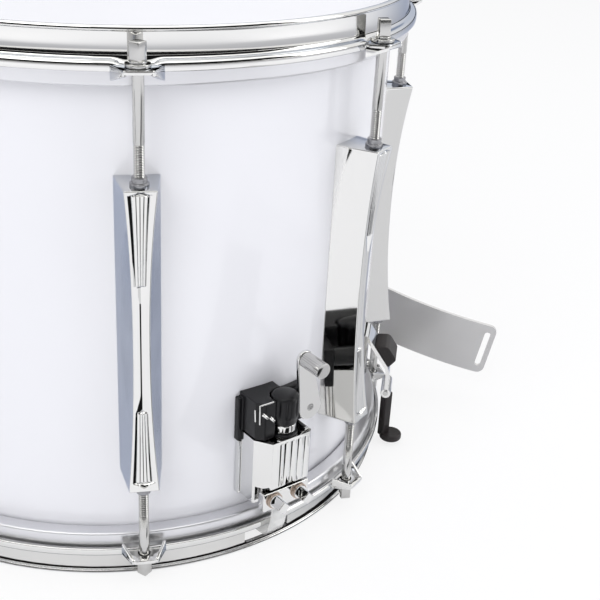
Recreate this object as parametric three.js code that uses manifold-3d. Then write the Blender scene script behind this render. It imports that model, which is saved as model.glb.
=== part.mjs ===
// Marching snare drum: a tall shell with two heads and flanged hoops, eight long waisted lugs with
// sixteen tension rods, a snare strainer with its butt and wires, a folding leg rest and a hinged hook.
// Millimetres, +Z up. Azimuths run counter-clockwise seen from above, from the first lug on the -Y side.
// Everything is placed from the plane of the lower rim, and the whole drum is then set down so that the
// origin is the centre of the batter head's playing face.

import * as THREE from 'three';
import { mergeVertices } from 'three/addons/utils/BufferGeometryUtils.js';
import Module from 'manifold-3d';

const wasm = await Module();
wasm.setup();

const degree = Math.PI / 180;

// Fits that all pieces share
const touchGap = 0.3;
const overrun = 8;
const seatDepth = 4;
const ringSides = 72;
const roundSides = 16;
const pinSides = 12;
const rodSides = 8;

// Shell
const shellRadius = 178;
const shellWall = 7;
const shellHeight = 305;
const bearingBevel = 4;
const ventRadius = 6.3;
const ventAzimuth = 270;
const grommetWall = 1.6;
const grommetLip = 2.6;
const grommetLipHeight = 1.4;

// Heads
const filmThickness = 0.5;
const collarLength = 15.3;
const collarDrop = 7.9;
const fleshHoopWidth = 9.4;
const fleshHoopHeight = 10.9;

// Flanged hoops
const hoopSheet = 2.3;
const hoopSeat = 3.4;
const flangeDepth = 16;
const flangeReach = 7.4;
const skirtDepth = 5.3;
const beadWidth = 4.9;
const beadHeight = 3.8;
const beadShares = [[0, 0.35], [0.25, 0], [0.82, 0], [1, 0.45]];
const flangeRound = 0.6;
const gateWidth = 33;
const gateHeight = 10;

// Ears of the hoops
const stations = 8;
const rodOutset = 3;
const earDrop = 1.8;
const earReach = 8.5;
const earRootHalf = 13.3;
const earTipHalf = 7.3;
const gussetSheet = 1.8;
const gussetDepth = 7.7;
const dipRun = 5;

// Tension rods
const rodRadius = 3;
const rodClearance = 0.6;
const washerRadius = 5.5;
const washerThickness = 1.2;
const headAcross = 6.35;
const headHeight = 10.4;
const headBevel = 0.9;
const rodEngagement = 12;

// Lugs
const lugHeight = 181;
const lugSetDown = 4.5;
const lugBaseHalf = 12.2;
const lugEndHalf = 8.65;
const lugWaistHalf = 4.75;
const lugEndDepth = 25;
const lugWaistDepth = 18.3;
const lugWall = 2.4;
const lugEndWall = 16;
const lugSteps = 10;
const lugHollowSteps = 4;
const waistShare = 2.2;
const nutRadius = 5.1;
const nutFlangeHeight = 2.2;
const nutNeckRadius = 4.2;
const nutHeight = 5.2;

// Snare strainer: the plate and block that are fixed to the shell
const strainerAzimuth = 25;
const plateThickness = 3.2;
const railRise = 28.5;
const railHeight = 38;
const railHalf = 19.5;
const guideDepth = 4;
const guideClearance = 0.5;
const basePlateHeight = 29.7;
const basePlateLeft = 20.5;
const basePlateRight = 28;
const baseStepDown = 3;
const blockLeft = 17.7;
const blockRight = 6;
const blockDepth = 20.7;
const blockHeight = 25;
const blockClearance = 0.5;
const blockBevel = 4;
const throwTravel = 6;

// Snare strainer: the carriage's housing
const housingHalf = 18.2;
const housingHeight = 44.5;
const housingRise = 1;
const housingDepth = 22.7;
const housingWall = 2.5;
const housingBevelAcross = 6.9;
const housingBevelDepth = 10;
const housingCorner = 1.8;
const housingTopWall = 2.5;
const recessDepth = 2;
const frontCutHeight = 12;
const sideWallDepth = 14.2;

// Snare strainer: tension screw and knob
const knobSet = 17.3;
const knobAcross = 2.6;
const knobRadius = 8.6;
const knobFootRadius = 7.8;
const knobHeight = 19.9;
const knobSkirtHeight = 5.5;
const knobClearance = 0.6;
const screwRadius = 2.2;
const screwTip = 8;
const collarRadius = 7.5;
const collarHeight = 5.6;
const plainWasherRadius = 8.5;
const plainWasherHeight = 1.6;
const screwFootRadius = 6;
const screwFootHeight = 2;

// Snare strainer: clamp
const jawHalf = 13.4;
const jawDepth = 12.6;
const jawHeight = 10;
const clampFaceSet = 20.3;
const clampSlit = 1.4;
const clampPlateHalf = 17;
const clampPlateThickness = 5.2;
const clampPlateHeight = 12.5;
const clampPlateDrop = 1.5;
const jawRise = 3;
const clampTravel = 4;
const clampScrewOut = 9.1;
const clampScrewRise = 6.8;
const clampScrewRadius = 2.3;
const clampScrewReach = 9;
const clampWasherRadius = 5.2;
const clampWasherThickness = 1.2;
const clampHeadLength = 9;

// Snare strainer: throw lever
const pivotAcross = 21.3;
const pivotRise = 18.7;
const bossRadius = 6;
const leverSet = 16.1;
const leverSheet = 2.6;
const leverEndRadius = 8.4;
const leverTipRadius = 5.4;
const leverLength = 34.5;
const leverTipShift = 5.8;
const leverPinRadius = 2.5;
const leverPinReach = 8;
const gripRadius = 4.9;
const gripLength = 16.7;

// Butt on the other side
const buttHalf = 18;
const buttHeight = 36;
const buttDrop = 4;
const buttWall = 3;
const buttFaceWall = 8.6;

// Snare wires and straps
const wireSetback = 20.1;
const wirePlateLength = 16;
const wirePlateHalf = 20;
const wireThickness = 2.2;
const wireCount = 10;
const wireWidth = 1.4;
const strapThickness = 0.8;
const strapHalf = 6.2;
const strapOutset = 2.1;

// Leg rest
const legAzimuth = 110;
const legHingeOutset = 9;
const legHingeHeight = 89.5;
const legLean = 11.75;
const legLeanAzimuth = 34.2;
const legStartAngle = -53;
const legBendRadius = 256;
const legLength = 144;
const legWidth = 45;
const legSheet = 2.5;
const legCorner = 6;
const legSlotWidth = 4.6;
const legSlotLength = 32.5;
const legSlotInset = 6;
const legArcSteps = 5;
const legBendSteps = 12;
const knuckleRadius = 4.5;
const knuckleNotch = 2.6;
const knuckleLength = 11.7;
const knuckleStandout = 1.25;
const legPinRadius = 2.4;
const legPinStandout = 1.1;
const webHalf = 3.6;
const legBaseSheet = 2.5;
const legBaseLeft = 14;
const legBaseRight = 18;
const legBaseMargin = 6;

// Bracket with bumper pad and hinged hook
const hookAzimuth = 70;
const bracketSheet = 2.5;
const bracketHalf = 11;
const bracketLow = 48;
const bracketCrest = 90.3;
const bracketReach = 19.7;
const inclineAngle = 34.5;
const padThickness = 8.1;
const padStart = 9.6;
const padLength = 18.7;
const padTopBevel = 4.6;
const hookPivotHeight = 46;
const hookKnuckleRadius = 3.6;
const hookKnuckleHalf = 3.7;
const hookPinRadius = 1.8;
const tabDepth = 7.6;
const tabDrop = 4;
const sleeveAcross = 9;
const sleeveFoot = 3;
const footRadius = 8;
const footHeight = 5;
const footOutset = 5.5;

// Places worked out from the sizes
const collarInner = shellRadius + touchGap;
const collarOuter = collarInner + filmThickness;
const fleshInner = collarOuter + touchGap;
const fleshOuter = fleshInner + fleshHoopWidth;
const hoopInner = fleshOuter - hoopSeat;
const hoopOuter = hoopInner + flangeReach;
const rodCircle = hoopOuter + rodOutset;
const wireReach = hoopInner - wireSetback;
const hoopFoot = flangeDepth + hoopSheet;
const headDepth = hoopFoot + touchGap - collarDrop;
const shellLow = headDepth + filmThickness + touchGap;
const drumHeight = shellHeight + 2 * shellLow;
const earTop = flangeDepth + earDrop;
const wallFace = shellRadius + touchGap;
const lugMiddle = drumHeight / 2 - lugSetDown;
const lugLow = lugMiddle - lugHeight / 2;
const lugHigh = lugMiddle + lugHeight / 2;

const railLow = shellLow + railRise;
const railHigh = railLow + railHeight;
const plateFace = wallFace + plateThickness;
const housingLow = railLow + housingRise;
const housingHigh = housingLow + housingHeight;
const housingBack = plateFace + touchGap;
const housingFront = housingBack + housingDepth;
const recessFloor = housingHigh - recessDepth;
const frontLow = housingLow + frontCutHeight;
const baseLow = railHigh + touchGap;
const blockLow = housingHigh + blockClearance;
const knobAxis = wallFace + knobSet;
const pivotHeight = baseLow + pivotRise;
const leverBack = wallFace + leverSet;
const leverFront = leverBack + leverSheet;
const jawFace = wallFace + clampFaceSet;
const clampPlateBack = jawFace + clampSlit;
const clampPlateFront = clampPlateBack + clampPlateThickness;
const clampPlateHigh = frontLow - clampPlateDrop;
const clampPlateLow = clampPlateHigh - clampPlateHeight;
const jawLow = clampPlateLow + jawRise;
const clampScrewHeight = clampPlateLow + clampScrewRise;
const strapRadius = (jawFace + clampPlateBack) / 2;
const strapMiddle = headDepth - touchGap - wireThickness / 2;
const hookAxis = wallFace + bracketReach - bracketSheet / 2;
const sleeveAxis = hoopOuter + 2 * touchGap + sleeveAcross / 2;

// Materials
function finish(name, color, roughness, metalness) {
  const material = new THREE.MeshStandardMaterial({ color, roughness, metalness, flatShading: true });
  material.name = name;
  return material;
}

const finishes = {
  shell: finish('shell', 0xf3f3f7, 0.2, 0),
  film: finish('film', 0xf6f6f8, 0.5, 0),
  fleshHoop: finish('flesh_hoop', 0xc9c9cc, 0.35, 1),
  chrome: finish('chrome', 0xdadde2, 0.08, 1),
  steel: finish('steel', 0xb9bab8, 0.3, 1),
  blackPlastic: finish('black_plastic', 0x171718, 0.45, 0),
  blackRubber: finish('black_rubber', 0x241f20, 0.7, 0),
  satinAluminium: finish('satin_aluminium', 0xb4b3b4, 0.4, 1),
  strap: finish('strap', 0xe6e6e2, 0.6, 0),
};

// Closed geometry: vertices shared, slivers dropped, faces turned outwards
function closed(geometry) {
  const bare = new THREE.BufferGeometry();
  bare.setAttribute('position', geometry.getAttribute('position'));
  bare.setIndex(geometry.getIndex());
  const merged = mergeVertices(bare);
  const places = merged.getAttribute('position');
  const corners = [0, 1, 2].map(() => new THREE.Vector3());
  const kept = [];
  let volume = 0;
  for (let face = 0; face < merged.index.count; face += 3) {
    const triangle = [0, 1, 2].map((side) => merged.index.getX(face + side));
    if (new Set(triangle).size === 3) {
      kept.push(...triangle);
      corners.forEach((corner, side) => corner.fromBufferAttribute(places, triangle[side]));
      volume += corners[0].dot(corners[1].cross(corners[2]));
    }
  }
  merged.setIndex(volume < 0 ? kept.reverse() : kept);
  return merged;
}

function solidOf(geometry) {
  const mesh = closed(geometry);
  return new wasm.Manifold(new wasm.Mesh({
    numProp: 3,
    vertProperties: new Float32Array(mesh.getAttribute('position').array),
    triVerts: new Uint32Array(mesh.getIndex().array),
  }));
}

function geometryOf(solid) {
  const mesh = solid.getMesh();
  const geometry = new THREE.BufferGeometry();
  geometry.setAttribute('position', new THREE.BufferAttribute(mesh.vertProperties, 3));
  geometry.setIndex(new THREE.BufferAttribute(mesh.triVerts, 1));
  return geometry;
}

function joined(...geometries) {
  return geometryOf(geometries.map(solidOf).reduce((whole, next) => whole.add(next)));
}

function cut(body, ...tools) {
  return geometryOf(tools.map(solidOf).reduce((whole, tool) => whole.subtract(tool), solidOf(body)));
}

// A ring or disc turned about the drum's axis from (radius, height) points, a vertex on the -Y side
function turned(profile, sides = ringSides) {
  const points = profile.map(([radius, height]) => new THREE.Vector2(radius, height));
  const first = points[0];
  if (first.x !== 0) points.push(first.clone());
  return new THREE.LatheGeometry(points, sides).rotateX(Math.PI / 2);
}

function outline(points) {
  return new THREE.Shape(points.map(([across, up]) => new THREE.Vector2(across, up)));
}

// Prisms on the drum's wall, in the frame where x runs along the wall and the radius along -Y.
// An upright prism has (x, radius) points, a sideways one (radius, z) and an outward one (x, z).
function upright(points, low, high) {
  const shape = outline(points.map(([across, radius]) => [across, -radius]));
  const depth = high - low;
  return new THREE.ExtrudeGeometry(shape, { depth, bevelEnabled: false }).translate(0, 0, low);
}

function sideways(points, from, to) {
  const geometry = new THREE.ExtrudeGeometry(outline(points), { depth: to - from, bevelEnabled: false });
  const axes = [new THREE.Vector3(0, -1, 0), new THREE.Vector3(0, 0, 1), new THREE.Vector3(-1, 0, 0)];
  return geometry.applyMatrix4(new THREE.Matrix4().makeBasis(...axes)).translate(to, 0, 0);
}

function outward(shape, inner, outer) {
  const geometry = new THREE.ExtrudeGeometry(shape, { depth: outer - inner, bevelEnabled: false });
  return geometry.rotateX(Math.PI / 2).translate(0, -inner, 0);
}

function block(left, right, inner, outer, low, high) {
  return upright([[left, inner], [right, inner], [right, outer], [left, outer]], low, high);
}

// Round bars: standing, pointing outwards, and lying along the wall
function post(radius, across, out, low, high, sides = roundSides, top = radius) {
  const geometry = new THREE.CylinderGeometry(top, radius, high - low, sides).rotateX(Math.PI / 2);
  return geometry.translate(across, -out, (low + high) / 2);
}

function stub(radius, across, height, inner, outer, sides = roundSides) {
  const geometry = new THREE.CylinderGeometry(radius, radius, outer - inner, sides);
  return geometry.translate(across, -(inner + outer) / 2, height);
}

function roller(radius, out, height, from, to, sides = roundSides) {
  const geometry = new THREE.CylinderGeometry(radius, radius, to - from, sides).rotateZ(Math.PI / 2);
  return geometry.translate((from + to) / 2, -out, height);
}

// Square bar ends, with a corner towards the outside
function squareBar(across, length, bevel) {
  const corner = across / Math.SQRT2;
  const shaft = new THREE.CylinderGeometry(corner, corner, length - bevel, 4);
  const crown = new THREE.CylinderGeometry(corner - bevel, corner, bevel, 4);
  return joined(
    shaft.translate(0, (length - bevel) / 2, 0),
    crown.translate(0, length - bevel / 2, 0),
  );
}

// The back of a piece that sits on the shell follows the shell's facets
const shellBlank = turned([[0, 0], [wallFace, 0], [wallFace, drumHeight], [0, drumHeight]]);

function seated(geometry) {
  return cut(geometry, shellBlank);
}

// The same piece for the batter end, mirrored in the drum's middle
function forBatterEnd(geometry) {
  return closed(geometry.clone().scale(1, 1, -1).translate(0, 0, drumHeight));
}

const drum = new THREE.Group();
drum.position.z = headDepth - drumHeight;

function at(azimuth, parent = drum) {
  const place = new THREE.Group();
  place.rotation.z = azimuth * degree;
  parent.add(place);
  return place;
}

function add(name, geometry, material, parent = drum) {
  const whole = closed(geometry);
  whole.computeVertexNormals();
  const mesh = new THREE.Mesh(whole, material);
  mesh.name = name;
  parent.add(mesh);
}

function eachStation(make) {
  for (let station = 0; station < stations; station += 1) {
    make(station + 1, (station * 360) / stations);
  }
}

// Shell with bearing edges and its air vent
function addShell() {
  const inner = shellRadius - shellWall;
  const high = shellLow + shellHeight;
  const tube = turned([
    [shellRadius, shellLow],
    [shellRadius, high],
    [inner + bearingBevel, high],
    [inner, high - bearingBevel],
    [inner, shellLow + bearingBevel],
    [inner + bearingBevel, shellLow],
  ]);
  const vent = stub(ventRadius, 0, drumHeight / 2, inner - overrun, shellRadius + overrun);
  add('shell', cut(tube, vent.rotateZ(ventAzimuth * degree)), finishes.shell);
}

function addGrommet() {
  const outer = ventRadius - touchGap;
  const bore = outer - grommetWall;
  const inside = shellRadius - shellWall;
  const face = wallFace + grommetLipHeight;
  const sleeve = turned([
    [bore, inside],
    [bore, face],
    [outer, face],
    [outer + grommetLip, wallFace + grommetLipHeight / 2],
    [outer + grommetLip, wallFace],
    [outer, wallFace],
    [outer, inside],
  ], roundSides);
  const placed = sleeve.rotateX(Math.PI / 2).translate(0, 0, drumHeight / 2);
  add('vent_grommet', placed, finishes.chrome, at(ventAzimuth));
}

// One head: the film over the bearing edge and its flesh hoop
function filmGeometry() {
  const inside = headDepth + filmThickness;
  const foot = headDepth + collarLength;
  return turned([
    [0, headDepth],
    [collarOuter, headDepth],
    [collarOuter, foot],
    [collarInner, foot],
    [collarInner, inside],
    [0, inside],
  ]);
}

function fleshHoopGeometry() {
  const near = hoopFoot + touchGap;
  const far = near + fleshHoopHeight;
  return turned([[fleshInner, near], [fleshOuter, near], [fleshOuter, far], [fleshInner, far]]);
}

function addHeads() {
  add('snare_film', filmGeometry(), finishes.film);
  add('snare_flesh_hoop', fleshHoopGeometry(), finishes.fleshHoop);
  add('batter_film', forBatterEnd(filmGeometry()), finishes.film);
  add('batter_flesh_hoop', forBatterEnd(fleshHoopGeometry()), finishes.fleshHoop);
}

// Flanged hoop, made for the snare end: bead at the rim, wall, flange, skirt and eight ears
function hoopSection() {
  const skirtFoot = flangeDepth + skirtDepth;
  return [
    [hoopInner, hoopFoot],
    ...beadShares.map(([across, down]) => [hoopInner + across * beadWidth, down * beadHeight]),
    [hoopInner + hoopSheet, beadHeight],
    [hoopInner + hoopSheet, flangeDepth],
    [hoopOuter - flangeRound, flangeDepth],
    [hoopOuter, flangeDepth + 2 * flangeRound],
    [hoopOuter, skirtFoot],
    [hoopOuter - hoopSheet, skirtFoot],
    [hoopOuter - hoopSheet, hoopFoot],
  ];
}

// A gusset hangs under the ear's slanting edge, from its root to its tip
function gusset(side) {
  const tip = rodCircle + earReach;
  const run = Math.hypot(earRootHalf - earTipHalf, tip - hoopOuter);
  const slant = Math.atan2(tip - hoopOuter, earRootHalf - earTipHalf);
  const triangle = outline([[0, 0], [run, 0], [run, hoopSheet], [0, gussetDepth]]);
  const sheet = new THREE.ExtrudeGeometry(triangle, { depth: gussetSheet, bevelEnabled: false });
  sheet.rotateX(Math.PI / 2).rotateZ(slant - Math.PI);
  sheet.translate(earRootHalf, -hoopOuter, earTop);
  return side < 0 ? closed(sheet.scale(-1, 1, 1)) : sheet;
}

function ear() {
  const root = fleshOuter + 2 * touchGap;
  const tip = rodCircle + earReach;
  const plate = upright([
    [-earRootHalf, root],
    [earRootHalf, root],
    [earRootHalf, hoopOuter],
    [earTipHalf, tip],
    [-earTipHalf, tip],
    [-earRootHalf, hoopOuter],
  ], earTop, earTop + hoopSheet);
  return joined(plate, gusset(1), gusset(-1));
}

// The flange dips to the ear, which leaves a flat seat for the washer
function flangeDip() {
  const foot = washerRadius + 2 * touchGap;
  const rise = dipRun + foot;
  const seat = [
    [-foot, earTop],
    [-rise, flangeDepth],
    [-rise, 0],
    [rise, 0],
    [rise, flangeDepth],
    [foot, earTop],
  ];
  const inner = rodCircle - washerRadius - touchGap;
  return outward(outline(seat), inner, rodCircle + earReach + overrun);
}

function hoopGeometry() {
  const ears = [];
  const dips = [];
  const bores = [];
  eachStation((number, azimuth) => {
    const turn = azimuth * degree;
    const boreEnd = earTop + gussetDepth + overrun;
    const bore = post(rodRadius + rodClearance, 0, rodCircle, 0, boreEnd, rodSides);
    ears.push(ear().rotateZ(turn));
    dips.push(flangeDip().rotateZ(turn));
    bores.push(bore.rotateZ(turn));
  });
  const ring = cut(turned(hoopSection()), ...dips);
  return cut(joined(ring, ...ears), ...bores);
}

// Window through the snare hoop's wall for a strap
function gate(azimuth) {
  const half = gateWidth / 2;
  const low = beadHeight + touchGap;
  const outer = hoopInner + hoopSheet + touchGap;
  return block(-half, half, hoopInner - overrun, outer, low, low + gateHeight).rotateZ(azimuth * degree);
}

function addHoops() {
  const hoop = hoopGeometry();
  add('snare_hoop', cut(hoop, gate(strainerAzimuth), gate(strainerAzimuth + 180)), finishes.chrome);
  add('batter_hoop', forBatterEnd(hoop), finishes.chrome);
}

// Tension rod for one end of the drum, with its washer and square key head
function rodGeometry(lugEnd) {
  const washerTop = earTop - touchGap;
  const headFoot = washerTop - washerThickness;
  const key = squareBar(headAcross, headHeight, headBevel).rotateX(-Math.PI / 2);
  return joined(
    post(rodRadius, 0, rodCircle, headFoot, lugEnd + rodEngagement, rodSides),
    post(washerRadius, 0, rodCircle, headFoot, washerTop, pinSides),
    key.translate(0, -rodCircle, headFoot),
  );
}

function addRods() {
  const snareRod = rodGeometry(lugLow);
  const batterRod = forBatterEnd(rodGeometry(drumHeight - lugHigh));
  eachStation((number, azimuth) => {
    const place = at(azimuth);
    add(`batter_rod_${number}`, batterRod.clone(), finishes.steel, place);
    add(`snare_rod_${number}`, snareRod.clone(), finishes.steel, place);
  });
}

// The lug's body is a box drawn in at the waist. An inset makes the hollow behind its walls.
function lugBody(inset, low, high, steps) {
  const box = new THREE.BoxGeometry(1, 1, 1, 1, 1, steps);
  const places = box.getAttribute('position');
  for (let corner = 0; corner < places.count; corner += 1) {
    const height = (low + high) / 2 + places.getZ(corner) * (high - low);
    const fromWaist = Math.abs(height - lugMiddle) / (lugHeight / 2);
    const flare = fromWaist ** waistShare;
    const frontHalf = lugWaistHalf + (lugEndHalf - lugWaistHalf) * flare;
    const depth = lugWaistDepth + (lugEndDepth - lugWaistDepth) * flare;
    const backHalf = lugBaseHalf + ((lugBaseHalf - frontHalf) * seatDepth) / depth;
    const atBack = places.getY(corner) > 0;
    const half = (atBack ? backHalf : frontHalf) - inset;
    const out = atBack ? wallFace - seatDepth : wallFace + depth - inset;
    places.setXYZ(corner, Math.sign(places.getX(corner)) * half, -out, height);
  }
  return box;
}

// Swivel nut at one end of a lug, pointing along +1 or -1
function lugNut(end, along) {
  const inEnd = end - along * touchGap;
  const shoulder = end + along * nutFlangeHeight;
  const tip = end + along * nutHeight;
  return joined(
    post(nutRadius, 0, rodCircle, Math.min(inEnd, shoulder), Math.max(inEnd, shoulder), rodSides),
    post(nutNeckRadius, 0, rodCircle, Math.min(inEnd, tip), Math.max(inEnd, tip), rodSides),
  );
}

function lugGeometry() {
  const boreRadius = rodRadius + touchGap;
  const boreDepth = rodEngagement + 2 * touchGap;
  const low = lugLow - nutHeight - overrun;
  const high = lugHigh + nutHeight + overrun;
  const whole = joined(lugBody(0, lugLow, lugHigh, lugSteps), lugNut(lugLow, -1), lugNut(lugHigh, 1));
  return seated(cut(
    whole,
    lugBody(lugWall, lugLow + lugEndWall, lugHigh - lugEndWall, lugHollowSteps),
    post(boreRadius, 0, rodCircle, low, lugLow + boreDepth, rodSides),
    post(boreRadius, 0, rodCircle, lugHigh - boreDepth, high, rodSides),
  ));
}

function addLugs() {
  const lug = lugGeometry();
  eachStation((number, azimuth) => add(`lug_${number}`, lug.clone(), finishes.chrome, at(azimuth)));
}

// Rail with the raised guide on which the carriage slides
function railGeometry() {
  const inside = wallFace - seatDepth;
  const guideHalf = housingHalf - housingWall - guideClearance;
  const guideHigh = recessFloor - housingTopWall - throwTravel - guideClearance;
  return seated(joined(
    block(-railHalf, railHalf, inside, plateFace, railLow, railHigh),
    block(-guideHalf, guideHalf, inside, plateFace + guideDepth, railLow, guideHigh),
  ));
}

// Black base: plate on the shell, block around the knob and the boss of the lever's pivot
function baseGeometry() {
  const inside = wallFace - seatDepth;
  const high = baseLow + basePlateHeight;
  const blockFront = wallFace + blockDepth;
  const blockPlan = [
    [-blockLeft, inside],
    [blockRight, inside],
    [blockRight, blockFront],
    [blockBevel - blockLeft, blockFront],
    [-blockLeft, blockFront - blockBevel],
  ];
  const blockHigh = blockLow + blockHeight;
  const bossFront = leverBack - touchGap;
  const whole = joined(
    block(-basePlateLeft, blockRight, inside, plateFace, baseLow, high),
    block(0, basePlateRight, inside, plateFace, baseLow, high - baseStepDown),
    upright(blockPlan, blockLow, blockHigh),
    stub(bossRadius, pivotAcross, pivotHeight, inside, bossFront),
  );
  const pinBore = leverPinRadius + touchGap;
  return seated(cut(
    whole,
    post(knobRadius + knobClearance, knobAcross, knobAxis, blockLow - overrun, blockHigh + overrun),
    stub(pinBore, pivotAcross, pivotHeight, bossFront - leverPinReach, leverFront, pinSides),
  ));
}

// Carriage housing: a cover open at the back and below, with a sunk top and a cut-away lower front
function housingPlan(inset) {
  const half = housingHalf - inset;
  const front = housingFront - inset;
  const back = housingBack - (inset > 0 ? overrun : 0);
  const spare = housingBevelAcross + housingBevelDepth - Math.hypot(housingBevelAcross, housingBevelDepth);
  const left = 1 - (inset * spare) / (housingBevelAcross * housingBevelDepth);
  return [
    [-half, back],
    [half, back],
    [half, front - housingCorner],
    [half - housingCorner, front],
    [left * housingBevelAcross - half, front],
    [-half, front - left * housingBevelDepth],
  ];
}

function housingGeometry() {
  const sideFront = housingBack + sideWallDepth;
  const below = housingLow - overrun;
  const beside = housingHalf + overrun;
  const beyond = housingFront + overrun;
  return cut(
    upright(housingPlan(0), housingLow, housingHigh),
    upright(housingPlan(housingWall), below, recessFloor - housingTopWall),
    upright(housingPlan(housingWall), recessFloor, housingHigh + overrun),
    block(-beside, beside, sideFront, beyond, below, frontLow),
    post(screwRadius + touchGap, knobAcross, knobAxis, below, housingHigh + overrun, pinSides),
  );
}

// Screw with its foot, washer and collar, and the knob on its upper end
function addTensionKnob(place) {
  const footLow = recessFloor + touchGap;
  const washerLow = footLow + screwFootHeight;
  const collarLow = washerLow + plainWasherHeight;
  const collarHigh = collarLow + collarHeight;
  const knobLow = collarHigh + touchGap;
  const skirtHigh = knobLow + knobSkirtHeight;
  const knobHigh = knobLow + knobHeight;
  const screwHigh = knobHigh - knobSkirtHeight;
  const screw = joined(
    post(screwRadius, knobAcross, knobAxis, jawLow + screwTip, screwHigh, pinSides),
    post(screwFootRadius, knobAcross, knobAxis, footLow, collarLow),
    post(plainWasherRadius, knobAcross, knobAxis, washerLow, collarLow),
    post(collarRadius, knobAcross, knobAxis, collarLow, collarHigh),
  );
  const knob = cut(
    joined(
      post(knobFootRadius, knobAcross, knobAxis, knobLow, skirtHigh, roundSides, knobRadius),
      post(knobRadius, knobAcross, knobAxis, skirtHigh, knobHigh),
    ),
    post(screwRadius + touchGap, knobAcross, knobAxis, knobLow - overrun, screwHigh + touchGap, pinSides),
  );
  add('tension_screw', screw, finishes.chrome, place);
  add('tension_knob', knob, finishes.blackPlastic, place);
}

// Clamp plate and square-headed screws, the same at the strainer and at the butt
function clampPlateGeometry() {
  const half = clampPlateHalf;
  const plate = block(-half, half, clampPlateBack, clampPlateFront, clampPlateLow, clampPlateHigh);
  return cut(plate, clampHole(-1), clampHole(1));
}

function clampHole(side) {
  const deep = jawFace - clampScrewReach - touchGap;
  const radius = clampScrewRadius + touchGap;
  return stub(radius, side * clampScrewOut, clampScrewHeight, deep, clampPlateFront + overrun, pinSides);
}

function clampScrewGeometry(side) {
  const washerBack = clampPlateFront + touchGap;
  const washerFront = washerBack + clampWasherThickness;
  const across = side * clampScrewOut;
  const key = squareBar(headAcross, clampHeadLength, headBevel).rotateX(Math.PI);
  return joined(
    stub(clampScrewRadius, across, clampScrewHeight, jawFace - clampScrewReach, washerFront, pinSides),
    stub(clampWasherRadius, across, clampScrewHeight, washerBack, washerFront),
    key.translate(across, -washerFront, clampScrewHeight),
  );
}

function addClampPlate(prefix, place) {
  add(`${prefix}_plate`, clampPlateGeometry(), finishes.chrome, place);
  add(`${prefix}_screw_1`, clampScrewGeometry(-1), finishes.chrome, place);
  add(`${prefix}_screw_2`, clampScrewGeometry(1), finishes.chrome, place);
}

function jawGeometry() {
  const high = jawLow + jawHeight;
  return cut(
    block(-jawHalf, jawHalf, jawFace - jawDepth, jawFace, jawLow, high),
    post(screwRadius + touchGap, knobAcross, knobAxis, jawLow - overrun, high + overrun, pinSides),
    clampHole(-1),
    clampHole(1),
  );
}

// Throw lever, its flush pivot pin and its round grip
function addLever(place) {
  const tipAcross = pivotAcross - leverTipShift;
  const tipHeight = pivotHeight + leverLength;
  const shape = new THREE.Shape();
  shape.absarc(pivotAcross, pivotHeight, leverEndRadius, Math.PI, 2 * Math.PI, false);
  shape.absarc(tipAcross, tipHeight, leverTipRadius, 0, Math.PI, false);
  const pivot = (radius, inner, outer) => stub(radius, pivotAcross, pivotHeight, inner, outer, pinSides);
  const bore = pivot(leverPinRadius + touchGap, leverBack - overrun, leverFront + overrun);
  const pin = pivot(leverPinRadius, leverBack - leverPinReach, leverFront);
  const gripBack = leverFront + touchGap;
  const grip = stub(gripRadius, tipAcross, tipHeight, gripBack, gripBack + gripLength);
  add('throw_lever', cut(outward(shape, leverBack, leverFront), bore), finishes.chrome, place);
  add('lever_pin', pin, finishes.steel, place);
  add('lever_grip', grip, finishes.steel, place);
}

function addStrainer() {
  const place = at(strainerAzimuth);
  add('strainer_rail', railGeometry(), finishes.chrome, place);
  add('strainer_base', baseGeometry(), finishes.blackPlastic, place);
  add('strainer_housing', housingGeometry(), finishes.chrome, place);
  add('clamp_block', jawGeometry(), finishes.steel, place);
  addTensionKnob(place);
  addClampPlate('clamp', place);
  addLever(place);
}

// Butt: a hollow block on the shell that holds the far strap
function buttGeometry() {
  const low = clampPlateLow - buttDrop + touchGap;
  const high = low + buttHeight;
  const inside = wallFace - seatDepth;
  const half = buttHalf;
  const hollow = half - buttWall;
  return seated(cut(
    block(-half, half, inside, jawFace, low, high),
    block(-hollow, hollow, inside - overrun, jawFace - buttFaceWall, low + buttWall, high - buttWall),
    clampHole(-1),
    clampHole(1),
  ));
}

function addButt() {
  const place = at(strainerAzimuth + 180);
  add('butt_body', buttGeometry(), finishes.chrome, place);
  addClampPlate('butt', place);
}

// Snare wires: two end plates and the strands between them, in one flat grille
function wiresGeometry() {
  const length = wireReach - wirePlateLength;
  const half = wirePlateHalf;
  const high = headDepth - touchGap;
  const low = high - wireThickness;
  const pitch = (2 * half - wireWidth) / (wireCount - 1);
  const spaces = [];
  for (let space = 0; space < wireCount - 1; space += 1) {
    const left = wireWidth - half + space * pitch;
    const right = left + pitch - wireWidth;
    spaces.push(block(left, right, -length, length, low - overrun, high + overrun));
  }
  return cut(block(-half, half, -wireReach, wireReach, low, high), ...spaces);
}

// A flat band of even thickness along (radius, z) points
function band(points, thickness) {
  const path = points.map(([out, up]) => new THREE.Vector2(out, up));
  const near = [];
  const far = [];
  path.forEach((point, index) => {
    const before = path[Math.max(index - 1, 0)];
    const after = path[Math.min(index + 1, path.length - 1)];
    const arriving = point.clone().sub(before).normalize();
    const leaving = after.clone().sub(point).normalize();
    const along = arriving.add(leaving).normalize();
    const offset = new THREE.Vector2(-along.y, along.x).multiplyScalar(thickness / 2);
    near.push(point.clone().add(offset).toArray());
    far.unshift(point.clone().sub(offset).toArray());
  });
  return [...near, ...far];
}

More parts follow.
